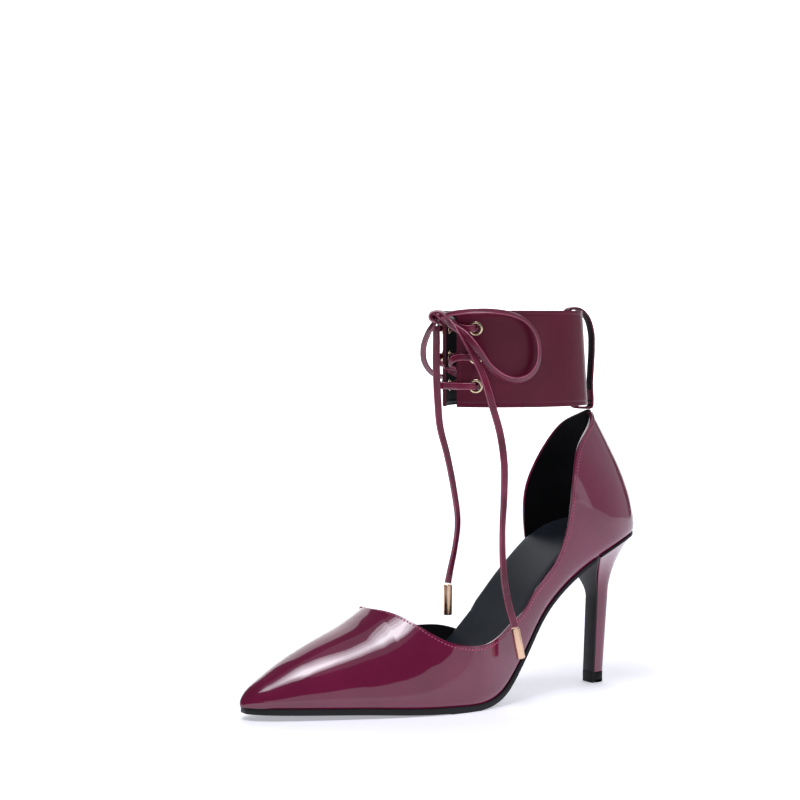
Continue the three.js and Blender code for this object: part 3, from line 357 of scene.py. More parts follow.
def join(pieces, name):
    bpy.ops.object.select_all(action="DESELECT")
    for piece in pieces:
        piece.select_set(True)
    bpy.context.view_layer.objects.active = pieces[0]
    bpy.ops.object.join()
    pieces[0].name = pieces[0].data.name = name
    return pieces[0]


def settle(piece, slot, *nodes):
    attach(piece, "root")
    if nodes:
        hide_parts(*nodes)
    return piece


# Materials
def newMaterial(name):
    material = bpy.data.materials.new(name)
    material.use_nodes = True
    nodes, links = material.node_tree.nodes, material.node_tree.links
    return material, nodes, links, nodes["Principled BSDF"]


def noiseNode(nodes, links, scale, detail=3.0, stretch=(1, 1, 1)):
    place = nodes.new("ShaderNodeTexCoord")
    mapping = nodes.new("ShaderNodeMapping")
    mapping.inputs["Scale"].default_value = stretch
    noise = nodes.new("ShaderNodeTexNoise")
    noise.inputs["Scale"].default_value = scale
    noise.inputs["Detail"].default_value = detail
    links.new(place.outputs["Object"], mapping.inputs["Vector"])
    links.new(mapping.outputs["Vector"], noise.inputs["Vector"])
    return noise


def rampNode(nodes, links, source, stops):
    ramp = nodes.new("ShaderNodeValToRGB")
    while len(ramp.color_ramp.elements) < len(stops):
        ramp.color_ramp.elements.new(0.5)
    for element, (at, colour) in zip(ramp.color_ramp.elements, stops):
        element.position = at
        element.color = (*colour, 1)
    links.new(source, ramp.inputs["Fac"])
    return ramp


def bumpNode(nodes, links, height, strength, distance, under=None):
    bump = nodes.new("ShaderNodeBump")
    bump.inputs["Strength"].default_value = strength
    bump.inputs["Distance"].default_value = distance
    links.new(height, bump.inputs["Height"])
    if under is not None:
        links.new(under.outputs["Normal"], bump.inputs["Normal"])
    return bump


def patentLeather(name, light, dark):
    material, nodes, links, shader = newMaterial(name)
    patches = noiseNode(nodes, links, 45, 3)
    ramp = rampNode(nodes, links, patches.outputs["Fac"], [(0.3, dark), (0.7, light)])
    links.new(ramp.outputs["Color"], shader.inputs["Base Color"])
    grain = noiseNode(nodes, links, 1400, 4)
    wave = noiseNode(nodes, links, 38, 1.5)
    softWave = bumpNode(nodes, links, wave.outputs["Fac"], 0.6, 0.0011)
    fine = bumpNode(nodes, links, grain.outputs["Fac"], 0.12, 0.00006, softWave)
    links.new(fine.outputs["Normal"], shader.inputs["Normal"])
    links.new(softWave.outputs["Normal"], shader.inputs["Coat Normal"])
    shader.inputs["Roughness"].default_value = 0.4
    shader.inputs["Specular IOR Level"].default_value = 0.05
    shader.inputs["Coat Weight"].default_value = 1.0
    shader.inputs["Coat Roughness"].default_value = 0.06
    shader.inputs["Coat IOR"].default_value = 1.7
    return material


def smoothLeather(name, light, dark, rough, coat, grainScale=900, grainDepth=0.25, stretch=(1, 1, 1), sheen=0.25, coatRough=0.22):
    material, nodes, links, shader = newMaterial(name)
    patches = noiseNode(nodes, links, 60, 4, stretch)
    ramp = rampNode(nodes, links, patches.outputs["Fac"], [(0.3, dark), (0.7, light)])
    links.new(ramp.outputs["Color"], shader.inputs["Base Color"])
    grain = noiseNode(nodes, links, grainScale, 5, stretch)
    wear = rampNode(nodes, links, patches.outputs["Fac"], [(0.2, (rough - 0.06,) * 3), (0.8, (rough + 0.06,) * 3)])
    links.new(wear.outputs["Color"], shader.inputs["Roughness"])
    fine = bumpNode(nodes, links, grain.outputs["Fac"], grainDepth, 0.0001)
    links.new(fine.outputs["Normal"], shader.inputs["Normal"])
    shader.inputs["Specular IOR Level"].default_value = sheen
    shader.inputs["Coat Weight"].default_value = coat
    shader.inputs["Coat Roughness"].default_value = coatRough
    return material


def polishedMetal(name, colour, rough):
    material, nodes, links, shader = newMaterial(name)
    scratches = noiseNode(nodes, links, 700, 3, (1, 1, 0.15))
    wear = rampNode(nodes, links, scratches.outputs["Fac"], [(0.3, (rough * 0.7,) * 3), (0.8, (rough * 1.4,) * 3)])
    links.new(wear.outputs["Color"], shader.inputs["Roughness"])
    fine = bumpNode(nodes, links, scratches.outputs["Fac"], 0.05, 0.00005)
    links.new(fine.outputs["Normal"], shader.inputs["Normal"])
    shader.inputs["Base Color"].default_value = (*colour, 1)
    shader.inputs["Metallic"].default_value = 1.0
    return material


patentWine = patentLeather("patentWine", (0.190, 0.007, 0.050), (0.150, 0.005, 0.038))
liningBlack = smoothLeather("liningBlack", (0.006, 0.006, 0.007), (0.003, 0.003, 0.004), 0.6, 0.0)
cuffWine = smoothLeather("cuffWine", (0.120, 0.007, 0.028), (0.098, 0.005, 0.021), 0.40, 0.2, 1600, 0.12, sheen=0.15, coatRough=0.3)
laceWine = smoothLeather("laceWine", (0.215, 0.016, 0.054), (0.080, 0.004, 0.018), 0.30, 0.6, 1300, 0.6, sheen=0.2, coatRough=0.12)
# A much lighter copy of the lace colour for its rounded edges: a painted highlight along the lace
laceEdgeHighlight = smoothLeather("laceEdgeHighlight", (0.560, 0.160, 0.260), (0.300, 0.045, 0.095), 0.30, 0.6, 1300, 0.6, coatRough=0.12)
# Stitch thread: the thread's own wine made much lighter, partly its colour and partly a painted highlight on each
# stitch
threadWineHighlit = smoothLeather("threadWineHighlit", (0.55, 0.11, 0.21), (0.36, 0.05, 0.12), 0.4, 0.2, 2500, 0.5)
sockSlate = smoothLeather("sockSlate", (0.020, 0.027, 0.036), (0.014, 0.019, 0.027), 0.45, 0.06, 1800, 0.3)
soleBlack = smoothLeather("soleBlack", (0.010, 0.010, 0.012), (0.005, 0.005, 0.006), 0.5, 0.1, 1200, 0.3)
liftBlack = smoothLeather("liftBlack", (0.008, 0.008, 0.009), (0.004, 0.004, 0.005), 0.55, 0.0, 900, 0.4)
eyeletGold = polishedMetal("eyeletGold", (0.80, 0.66, 0.44), 0.16)
agletGold = polishedMetal("agletGold", (0.86, 0.58, 0.40), 0.3)
print("materials ready")

# Ankle cuff line and eyelets, needed by the laces
cuff = {
    "height": 48.3, "length": 78.8, "width": 54, "wall": 1.8, "taper": 0.05, "clearance": 3.4,
    "seam": 2.0, "seamDepth": 0.34, "edgeRound": 0.4,
}
cuffPlan = [
    (0, 0), (0.04, 0.44), (0.16, 0.80), (0.34, 0.975), (0.50, 1), (0.66, 0.93), (0.80, 0.76),
    (0.92, 0.50), (0.995, 0.22),
]
cuffBack = along(0.1485)
cuffBottom = shoe["seatHeight"] + shoe["counterHeight"] + cuff["clearance"]
cuffTop = cuffBottom + cuff["height"]
frontX = cuffBack + cuff["length"]
cuffRing = [(cuffBack + a * cuff["length"], -w * cuff["width"] / 2) for a, w in reversed(cuffPlan)]
cuffRing += [(cuffBack + a * cuff["length"], w * cuff["width"] / 2) for a, w in cuffPlan[1:]]
cuffKnots, cuffX, cuffY = planeCurve(cuffRing)
cuffRound = cuffKnots[-1]


def cuffAt(distance):
    step = 0.05
    tangent = Vector((cuffX(distance + step) - cuffX(distance - step),
                      cuffY(distance + step) - cuffY(distance - step), 0)).normalized()
    return Vector((cuffX(distance), cuffY(distance), 0)), Vector((-tangent.y, tangent.x, 0))


eyelet = {"setback": 10, "drops": (9, 23.3, 37.7), "diameter": 7.2, "bore": 4, "wall": 0.6}
eyelets = {}
for sideName, distance, sign in (("lateral", cuffRound - eyelet["setback"], 1), ("medial", eyelet["setback"], -1)):
    for row, drop in enumerate(eyelet["drops"], 1):
        centre, outward = cuffAt(distance)
        centre.z = cuffTop - drop
        eyelets[(sideName, row)] = (centre, outward, Vector((outward.y, -outward.x, 0)) * sign)

# The lace: a flat strip, swept along smooth lines
lace = {"width": 3.8, "barWidth": 3.5, "thickness": 1.1, "step": 0.8}


def smoothLine(points, step):
    # Centripetal curve through the points, at equal steps
    pts = [Vector(p) for p in points]
    pts = [pts[0] * 2 - pts[1]] + pts + [pts[-1] * 2 - pts[-2]]
    fine, place = [], []
    for i in range(1, len(pts) - 2):
        p0, p1, p2, p3 = pts[i - 1:i + 3]
        t0 = 0.0
        t1 = t0 + (p1 - p0).length ** 0.5
        t2 = t1 + (p2 - p1).length ** 0.5
        t3 = t2 + (p3 - p2).length ** 0.5
        for k in range(24):
            t = t1 + (t2 - t1) * k / 24
            a1 = p0 * ((t1 - t) / (t1 - t0)) + p1 * ((t - t0) / (t1 - t0))
            a2 = p1 * ((t2 - t) / (t2 - t1)) + p2 * ((t - t1) / (t2 - t1))
            a3 = p2 * ((t3 - t) / (t3 - t2)) + p3 * ((t - t2) / (t3 - t2))
            b1 = a1 * ((t2 - t) / (t2 - t0)) + a2 * ((t - t0) / (t2 - t0))
            b2 = a2 * ((t3 - t) / (t3 - t1)) + a3 * ((t - t1) / (t3 - t1))
            fine.append(b1 * ((t2 - t) / (t2 - t1)) + b2 * ((t - t1) / (t2 - t1)))
            place.append(i - 1 + k / 24)
    fine.append(pts[-2])
    place.append(len(pts) - 3)
    travelled = [0.0]
    for p, q in zip(fine, fine[1:]):
        travelled.append(travelled[-1] + (q - p).length)
    count = max(2, round(travelled[-1] / step))
    line, knots = [], []
    k = 0
    for i in range(count + 1):
        want = travelled[-1] * i / count
        while k < len(fine) - 2 and travelled[k + 1] < want:
            k += 1
        t = (want - travelled[k]) / max(travelled[k + 1] - travelled[k], 1e-9)
        line.append(fine[k].lerp(fine[k + 1], t))
        knots.append(lerp(place[k], place[k + 1], t))
    return line, knots, travelled[-1]


stripSection = [  # shares of half the width and half the thickness, round once
    (-1, 0), (-0.94, 0.62), (-0.78, 1), (-0.55, 0.86), (-0.3, 0.95), (0, 0.98), (0.3, 0.95), (0.55, 0.86),
    (0.78, 1), (0.94, 0.62), (1, 0), (0.94, -0.62), (0.78, -1), (0.3, -0.95), (-0.3, -0.95), (-0.78, -1),
    (-0.94, -0.62),
]


# Section edges on the strip's rounded shoulders, which take the painted edge highlight
highlightStripEdges = (1, 8, 11, 15)


def strip(name, points, turns, width, thickness, facing=None):
    # A flat strip along the points. turns: degrees each point's flat side is turned from facing
    line, knots, length = smoothLine(points, lace["step"])
    grid = []
    for i, p in enumerate(line):
        tangent = (line[min(i + 1, len(line) - 1)] - line[max(i - 1, 0)]).normalized()
        k = min(int(knots[i]), len(turns) - 2)
        angle = math.radians(lerp(turns[k], turns[k + 1], knots[i] - k))
        toward = (facing(p) if facing else towardCamera).copy()
        toward = (toward - tangent * toward.dot(tangent))
        if toward.length < 0.2:
            toward = Vector((0, 0, 1)) - tangent * tangent.z
        toward.normalize()
        across = tangent.cross(toward)
        wide = across * math.cos(angle) + toward * math.sin(angle)
        face = tangent.cross(wide)
        ring = [p + wide * (a * width / 2) + face * (b * thickness / 2) for a, b in stripSection]
        grid.append(ring + ring[:1])
    piece = gridSheet(name, grid)
    piece.data.materials.append(laceWine)
    piece.data.materials.append(laceEdgeHighlight)
    # Faces on the rounded edges get the lighter colour: painted highlight
    for face in piece.data.polygons:
        if face.index // (len(grid) - 1) in highlightStripEdges:
            face.material_index = 1
    closeEnds(piece)
    smoothShade(piece, 60)
    return piece, line, length


overRim = cuff["wall"] / 2 + gap + eyelet["wall"] + gap + 1.0


def threaded(side, row, out, ahead=0.0):
    centre, outward, forward = eyelets[(side, row)]
    return centre + outward * out + forward * ahead


def frontPoint(forward, across, row, rise=0.0):
    return Vector((frontX + forward, across, cuffTop - eyelet["drops"][row - 1] + rise))


def outOf(side, row):
    return [threaded(side, row, -overRim - 0.8), threaded(side, row, -1.4), threaded(side, row, 1.4),
            threaded(side, row, overRim, 0.9), threaded(side, row, overRim + 0.5, 4.2),
            threaded(side, row, overRim, 8.4)]


def crossed(start, to, sign):
    # From inside row 3, round the other flap's edge into row 2, then behind to row 1 and the knot
    curl = [threaded(to, 2, -2.6, 11.5), threaded(to, 2, -0.9, 13.2), threaded(to, 2, 1.9, 12.3)]
    for point, drop in zip(curl, (-6.2, -4.2, -1.6)):
        point.z += drop
    return ([threaded(start, 3, -overRim - 0.8), frontPoint(-8, sign * 2, 3, 4)] + curl
            + [threaded(to, 2, overRim + 0.4, 7.6), threaded(to, 2, overRim + 0.3, 3.6), threaded(to, 2, overRim, 0.9),
               threaded(to, 2, 1.4), threaded(to, 2, -1.4), threaded(to, 2, -overRim - 0.8),
               frontPoint(-12, 0, 2, 7), ] + outOf(start, 1)[:5]
            + [frontPoint(2.6, sign * 6.4 - 0.5, 1, 1.6)])


bar = (outOf("lateral", 3) + [frontPoint(2.6, 3.4, 3), frontPoint(2.8, -0.5, 3), frontPoint(2.6, -3.9, 3)]
       + list(reversed(outOf("medial", 3))))
knotAt = Vector((4.5, -2, 192.2))


def awayFromCuff(p):
    middle = Vector((cuffBack + cuff["length"] * 0.5, 0, p.z))
    flat = p - middle
    return Vector((flat.x * 0.7, flat.y, 0)).normalized()


crossings = []
for name, route in (("laceBar", bar), ("laceCrossLateral", crossed("lateral", "medial", 1)),
                    ("laceCrossMedial", crossed("medial", "lateral", -1))):
    piece, line, length = strip(name, route, [0] * len(route), lace["barWidth"], lace["thickness"], awayFromCuff)
    crossings.append((piece, line, length))

routes = {
    "laceLoopLateral": ("lace_loop_lateral", [
        (4.9, 2.1, 193), (3.2, 8, 194.2), (-3.2, 16.4, 195.2), (-11.3, 23, 195.2), (-19.3, 27.2, 193.8),
        (-26.7, 30, 190.2), (-31.3, 31.6, 184), (-33, 32, 177), (-32, 32, 169), (-28, 31.6, 163.8),
        (-21.2, 31, 161.4), (-14.1, 30, 162.6), (-6.9, 27.5, 167.9), (-2.1, 24, 176.2), (1, 16.6, 183.9),
        (3.6, 9, 188.2), (4.2, 5, 190.4), (4.5, 2.1, 191)],
        [50, 50, 48, 48, 50, 54, 58, 58, 54, 48, 42, 38, 35, 32, 30, 35, 45, 50]),
    "laceLoopMedial": ("lace_loop_medial", [
        (3.6, -6.2, 192.6), (-3.5, -15, 194.4), (-13.5, -25, 194.6), (-23.5, -30.4, 192), (-30.5, -33, 186),
        (-33, -34, 177), (-31, -34, 169), (-25.5, -33.5, 163.5), (-17.5, -32.5, 161.5), (-10, -31, 163.5),
        (-3, -27.5, 169.5), (1, -22, 177), (3, -15, 183.6), (4, -9, 187.8), (4, -6, 190)],
        [70, 74, 78, 82, 84, 84, 80, 70, 60, 52, 45, 40, 42, 50, 60]),
    "laceEndLateral": ("lace_end_lateral", [
        (6.0, -2.6, 190.0), (8.2, -4.2, 191.4), (8.0, -4.4, 194.0), (6.0, -1.4, 195.2), (4.2, 3.4, 193.9),
        (2.8, 8.6, 190.4), (1.6, 14.9, 183.6), (-0.6, 21.0, 174.4), (-3.0, 25.6, 165.2), (-4.6, 28.0, 157.6),
        (-6.4, 29.6, 149.4), (-10.2, 31, 135.4), (-11.7, 32.5, 120.7), (-11, 33.5, 104.5), (-9.1, 35, 88.5),
        (-8.5, 36, 76.3), (-8.8, 37, 64.1), (-10.6, 38, 51.7), (-13.9, 39, 40.6)],
        [80, 80, 75, 70, 60, 50, 40, 30, 25, 15, 10, 5, 10, 30, 45, 40, 30, 20, 10]),
    "laceEndMedial": ("lace_end_medial", [
        (4.6, -4.4, 188), (4, -5, 180.9), (4.1, -5, 170.8), (3.8, -5, 160.8), (3.2, -5, 150.7),
        (1.8, -5, 137.3), (-2.4, -5, 123), (-6.4, -5, 106), (-8.9, -5, 88.9), (-7.4, -5, 76.4),
        (-4.4, -5, 63.9), (-3, -5, 57.7)],
        [20, 10, 5, 0, 5, 15, 30, 40, 45, 50, 40, 30]),
}
agletPlaces = {
    "agletLateral": ("aglet_lateral", (-14, 39.02, 40.2), (-16.7, 40, 25.3)),
    "agletMedial": ("aglet_medial", (-3, -5, 57.3), (-2.9, -5, 41.8)),
}
aglet = {"diameter": 4.3, "length": 15.5, "sides": 40, "roundEnd": 0.5}


def makeAglet(name, node, start, towards):
    start = Vector(start)
    direction = (Vector(towards) - start).normalized()
    bpy.ops.object.select_all(action="DESELECT")
    middle = start + direction * (aglet["length"] / 2 + gap)
    bpy.ops.mesh.primitive_cylinder_add(vertices=aglet["sides"], radius=aglet["diameter"] / 2 * mm,
                                        depth=aglet["length"] * mm, location=middle * mm)
    piece = bpy.context.object
    piece.name = piece.data.name = name
    piece.rotation_mode = "QUATERNION"
    piece.rotation_quaternion = direction.to_track_quat("Z", "X")
    bpy.ops.object.transform_apply(location=True, rotation=True, scale=True)
    applied(piece, "BEVEL", width=aglet["roundEnd"] * mm, segments=4, limit_method="ANGLE", angle_limit=math.radians(60))
    smoothShade(piece, 35)
    piece.data.materials.append(agletGold)
    return settle(piece, "aglet_metal", node)


aglets = {name: makeAglet(name, *place) for name, place in agletPlaces.items()}

# The knot: the lace's own turns, wound round each other
knotTurns = [
    ("laceKnotWrap", [(3.6, 1.8, 191.0), (6.2, 1.4, 193.2), (6.9, -1.6, 194.6), (6.6, -4.8, 193.4),
                      (4.4, -5.8, 191.2), (2.6, -4.4, 189.8), (3.0, -1.0, 189.4), (4.9, 1.2, 190.4)], 2.8),
]
knotPieces = []
for name, points, width in knotTurns:
    outFromKnot = lambda p: (p - knotAt).normalized()
    piece, line, length = strip(name, points, [0] * len(points), width, 1.1, outFromKnot)
    knotPieces.append(piece)
bpy.ops.object.select_all(action="DESELECT")
bpy.ops.mesh.primitive_uv_sphere_add(segments=24, ring_count=14, radius=2.6 * mm, location=knotAt * mm)
bpy.context.object.scale = (0.7, 1.15, 0.85)
bpy.ops.object.transform_apply(location=True, rotation=True, scale=True)
bpy.context.object.data.materials.append(laceWine)
knotPieces.append(bpy.context.object)
knot = settle(join(knotPieces, "laceKnot"), "lace_wine", "lace_knot")
smoothShade(knot, 60)

for name, (node, points, turns) in routes.items():
    piece, line, length = strip(name, points, turns, lace["width"], lace["thickness"])
    settle(piece, "lace_wine", node)
    print("lace", name, round(length, 1), "mm")
for piece, line, length in crossings:
    settle(piece, "lace_wine", "lace_crossings")
    print("lace", piece.name, round(length, 1), "mm")
print("laces made")


# Upper: outer side and inner side meet along the ridge of the toe box
upper = {"toeSteps": 46, "outerSteps": 250, "innerSteps": 70, "rows": 26, "fold": 0.45, "turnUnder": 1.3, "turnHeight": 4, "turnFull": 14,
         "footRows": (0, 0.005, 0.011, 0.018, 0.027, 0.038, 0.05),
         "backSeam": 1.1, "backSeamRise": 0.35, "stitchInset": 1.9}
throatX, tipX = along(throatAt), along(1)
toeStations = [lerp(tipX, throatX, (i / upper["toeSteps"]) ** 2) for i in range(1, upper["toeSteps"] + 1)]


def wallLines(side, rows, steps):
    # Columns of points from under the foot edge up to the top line
    sections = [toeSection(x, side) + (None,) for x in toeStations]
    start = outlineKnot(throatX, side)
    end = outlineKnot(along(rows[-1][0]), rows[-1][1])
    knots = [lerp(start, end, i / steps) for i in range(1, steps + 1)]
    if side > 0:
        near = [backKnot + d * 0.35 for d in range(-9, 10)]
        knots = [k for k in knots if abs(k - backKnot) > 3.4] + near
        knots.sort(reverse=True)
    sections += [wallSection(k, side) + (k,) for k in knots]
    grid = []
    for section, top, knot in sections:
        foot = section(0)
        tucked = Vector((foot.x, foot.y, foot.z - gap * 0.9))
        inward = -outwardAt(knot) if knot is not None else Vector((0, -side, 0))
        inward *= min(1, max(0, side * foot.y - ridgeSide * halfBall * side) / upper["turnFull"])
        shares = list(upper["footRows"]) + [lerp(0.05, 1, (j + 1) / upper["rows"]) for j in range(upper["rows"])]
        column = [section(top * share) for share in shares]
        column = [p + inward * (upper["turnUnder"] * max(0, 1 - (p.z - foot.z) / upper["turnHeight"]) ** 2.5)
                  for p in column]
        column = [column[0] - Vector((0, 0, foot.z - tucked.z))] + column
        if knot is not None and abs(knot - backKnot) < 4 and side > 0:
            raised = upper["backSeamRise"] * math.exp(-((knot - backKnot) / upper["backSeam"]) ** 4)
            column = [p + Vector((-raised, 0, 0)) for p in column]
        grid.append(column)
    return grid


def upperSheet(side, rows, steps, name):
    grid = wallLines(side, rows, steps)
    tip = Vector((tipX, ridgeSide * halfBall, featherHeight(tipX)))
    tipColumn = [tip - Vector((0, 0, gap * 0.9))] + [tip] * (upper["rows"] + len(upper["footRows"]))
    grid = [tipColumn] + grid
    piece = gridSheet(name, grid)
    return piece, grid


outerSheet, outerGrid = upperSheet(1, outerWall, upper["outerSteps"], "upper")
innerSheet, innerGrid = upperSheet(-1, innerWall, upper["innerSteps"], "upperInner")


def pointOut(piece, probe):
    # Turns the sheet so that the face nearest to the probe looks at it
    probe = Vector(probe) * mm
    face = min(piece.data.polygons, key=lambda f: (f.center - probe).length)
    if face.normal.dot(probe - face.center) < 0:
        editAll(piece, bpy.ops.mesh.flip_normals)


pointOut(outerSheet, (0, 80, 15))
pointOut(innerSheet, (0, -80, 15))
upperPiece = join([outerSheet, innerSheet], "upperShell")
mergeDoubles(upperPiece, 0.00002)
for material in (patentWine, liningBlack):
    upperPiece.data.materials.append(material)
applied(upperPiece, "SOLIDIFY", thickness=shoe["wall"] * mm, offset=-1, use_even_offset=True,
        material_offset=1, material_offset_rim=0, thickness_clamp=0.9)
applied(upperPiece, "BEVEL", width=upper["fold"] * mm, segments=3, limit_method="ANGLE",
        angle_limit=math.radians(55), use_clamp_overlap=True)
smoothShade(upperPiece, 50)
settle(upperPiece, "patent_wine", "upper")
print("upper", len(upperPiece.data.polygons))


# Stitches: one small bead, copied along a line just inside an edge
def stitchLine(columns, inset, lift):
    # Points at a distance down from the top of each column, with the surface's direction
    path = []
    for i, column in enumerate(columns):
        left, k = inset, len(column) - 1
        while k > 1 and (column[k] - column[k - 1]).length < left:
            left -= (column[k] - column[k - 1]).length
            k -= 1
        step = (column[k - 1] - column[k])
        point = column[k] + step.normalized() * left if step.length > 1e-6 else column[k]
        near = columns[min(i + 1, len(columns) - 1)][k] - columns[max(i - 1, 0)][k]
        normal = near.cross(step).normalized()
        path.append((point, normal))
    return path


def stitches(name, paths, pitch, length, width, material):
    bpy.ops.object.select_all(action="DESELECT")
    bpy.ops.mesh.primitive_uv_sphere_add(segments=8, ring_count=6, radius=0.5)
    bead = bpy.context.object
    corners = np.array([v.co[:] for v in bead.data.vertices])
    faces = [tuple(f.vertices) for f in bead.data.polygons]
    bpy.data.objects.remove(bead)
    allCorners, allFaces = [], []
    for path in paths:
        travelled = 0.0
        due = pitch / 2
        for (p, n), (q, m) in zip(path, path[1:]):
            run = (q - p).length
            while run > 1e-9 and travelled + run >= due:
                t = (due - travelled) / run
                centre, normal = p.lerp(q, t), n.lerp(m, t).normalized()
                ahead = (q - p).normalized()
                side = normal.cross(ahead)
                frameRows = np.array([ahead * length, side * width, normal * width])
                first = len(allCorners) * len(corners)
                allCorners.append(corners @ frameRows + np.array(centre))
                allFaces += [tuple(v + first for v in f) for f in faces]
                due += pitch
            travelled += run
    mesh = bpy.data.meshes.new(name)
    mesh.from_pydata((np.vstack(allCorners) * mm).tolist(), [], allFaces)
    mesh.materials.append(material)
    for face in mesh.polygons:
        face.use_smooth = True
    piece = bpy.data.objects.new(name, mesh)
    bpy.context.scene.collection.objects.link(piece)
    return piece


def outwardPath(columns, inset, side):
    path = stitchLine(columns, inset, 0)
    fixed = []
    for point, normal in path:
        if normal.dot(Vector((0, side, 0.3))) < 0 and abs(normal.y) > 0.3:
            normal = -normal
        fixed.append((point + normal * 0.05, normal))
    return fixed


topOuter = outwardPath(outerGrid[1 + upper["toeSteps"]:], upper["stitchInset"], 1)
topInner = outwardPath(innerGrid[1 + upper["toeSteps"]:], upper["stitchInset"], -1)
upperStitches = stitches("upperStitches", [topOuter, topInner], 1.8, 1.35, 0.9, threadWineHighlit)
settle(upperStitches, "patent_wine")

# Insole board, wrapped in patent, and the sock on it
openWaist = {"from": 0.2136, "fromFull": 0.2289, "toFull": 0.3627, "to": 0.3781}
insole = {"inside": shoe["wall"] + 2 * gap, "flush": 1.3 * gap, "edgeRadius": 2, "dish": 0.8, "rows": 110,
          "back": 0.0114, "front": 0.9662}


def insetPoint(x, sign, inset):
    knot = outlineKnot(x, sign)
    return Vector((outlineX(knot), outlineY(knot), 0)) - outwardAt(knot) * inset


def boardInset(x, sign):
    share = shareAt(x)
    openShare = 0 if sign > 0 else (ease(share, openWaist["from"], openWaist["fromFull"])
                                    * (1 - ease(share, openWaist["toFull"], openWaist["to"])))
    return lerp(insole["inside"], insole["flush"], openShare)


def insoleRings(inset, bottomOf, topOf):
    rings = []
    for i in range(insole["rows"] + 1):
        t = i / insole["rows"]
        share = lerp(insole["back"], insole["front"], t - math.sin(2 * math.pi * t) / (2 * math.pi) * 0.85)
        x = along(share)
        lateral, medial = insetPoint(x, 1, inset(x, 1)), insetPoint(x, -1, inset(x, -1))
        width = (lateral - medial).length
        corner = min(insole["edgeRadius"] / width, 0.2)
        drop = min(insole["edgeRadius"], (topOf(x, 0) - bottomOf(x, 0)) * 0.7)
        ring = []
        for v, height, down in (
                [(0, bottomOf, 0), (0.5, bottomOf, 0), (1, bottomOf, 0), (1, topOf, drop)]
                + [(1 - corner * (1 - math.sin(a)), topOf, drop * (1 - math.cos(a)))
                   for a in (1.2, 0.8, 0.4)]
                + [(1 - corner - (1 - 2 * corner) * k / 10, topOf, 0) for k in range(11)]
                + [(corner * (1 - math.sin(a)), topOf, drop * (1 - math.cos(a))) for a in (0.4, 0.8, 1.2)]
                + [(0, topOf, drop)]):
            p = medial.lerp(lateral, v)
            ring.append(Vector((p.x, p.y, height(p.x, v) - down)))
        rings.append(ring)
    return rings


def boardTop(x, v):
    return footbedHeight(x) - shoe["sock"] - gap + insole["dish"] * (2 * v - 1) ** 2


def ringLoft(name, rings):
    piece = gridSheet(name, [ring + ring[:1] for ring in rings])
    closeEnds(piece)
    return piece


board = ringLoft("insoleBoard", insoleRings(boardInset, lambda x, v: featherHeight(x), boardTop))
board.data.materials.append(patentWine)
smoothShade(board, 50)
settle(board, "patent_wine", "insole_board")
sock = ringLoft("insoleSock", insoleRings(lambda x, s: boardInset(x, s) + insole["edgeRadius"] * 0.6,
                                          lambda x, v: boardTop(x, v) + gap * 0.2,
                                          lambda x, v: boardTop(x, v) + gap + shoe["sock"]))
sock.data.materials.append(sockSlate)
smoothShade(sock, 50)
settle(sock, "sock_slate", "insole_sock")
print("insole made")

# Heel: ribs from the seat outline down to the stem
heel = {
    "seatFront": 0.1524, "inset": 1.2, "drop": 1.3, "stemHeight": 45, "stemLength": 8.8, "stemWidth": 8.8, "shrink": 0.83,
    "topFront": 0.1013, "footFront": 0.1088, "sideRibs": 30, "frontRibs": 14, "rows": 46, "stemRows": 14,
    "hollowFront": 1.7, "hollowSide": 2.1, "hollowBack": 1.85, "lift": 5.6, "flap": 1.2,
}


def stemPoint(front, length, width, v):
    angle = v * math.pi / 2
    return front - length * math.sin(angle), width / 2 * max(math.cos(angle), 0) ** 0.7


def stemSection(height):
    down = (heel["stemHeight"] - height) / (heel["stemHeight"] - heel["lift"] - gap)
    return (lerp(along(heel["topFront"]), along(heel["footFront"]), down),
            heel["stemLength"] * lerp(1, heel["shrink"], down), heel["stemWidth"] * lerp(1, 0.97, down))


def heelRing(share, height):
    front, length, width = stemSection(min(height, heel["stemHeight"]))
    seatX = along(heel["seatFront"])
    ring = []

    def place(seat, target, power):
        flow = 1 - (1 - share) ** power
        top = featherHeight(seat.x) - gap * 0.5 - heel["drop"]
        z = height if height < heel["stemHeight"] else lerp(top, heel["stemHeight"], share)
        ring.append(Vector((lerp(seat.x, target[0], flow), lerp(seat.y, target[1], flow), z)))

    for sign in (1, -1):
        for i in range(heel["sideRibs"]):
            v = i / heel["sideRibs"] if sign > 0 else 1 - i / heel["sideRibs"]
            cornerKnot = outlineKnot(seatX, sign)
            knot = lerp(cornerKnot, backKnot, v)
            seat = Vector((outlineX(knot), outlineY(knot), 0)) - outwardAt(knot) * heel["inset"]
            x, y = stemPoint(front, length, width, v)
            place(seat, (x, sign * y), lerp(heel["hollowSide"], heel["hollowBack"], v))
    outerCorner, innerCorner = insetPoint(seatX, 1, heel["inset"]), insetPoint(seatX, -1, heel["inset"])
    for i in range(heel["frontRibs"]):
        v = i / heel["frontRibs"]
        power = lerp(heel["hollowFront"], heel["hollowSide"], abs(2 * v - 1) ** 2)
        place(innerCorner.lerp(outerCorner, v), (front, width * (v - 0.5)), power)
    return ring


heelRings = [heelRing(i / heel["rows"], heel["stemHeight"]) for i in range(heel["rows"] + 1)]
heelRings += [heelRing(1, lerp(heel["stemHeight"], heel["lift"] + gap * 0.3, i / heel["stemRows"]) - 1e-6)
              for i in range(1, heel["stemRows"] + 1)]
heelPiece = ringLoft("heelBlock", heelRings)
heelPiece.data.materials.append(patentWine)
applied(heelPiece, "BEVEL", width=0.5 * mm, segments=3, limit_method="ANGLE", angle_limit=math.radians(50))
smoothShade(heelPiece, 45)
settle(heelPiece, "patent_wine", "heel_block")

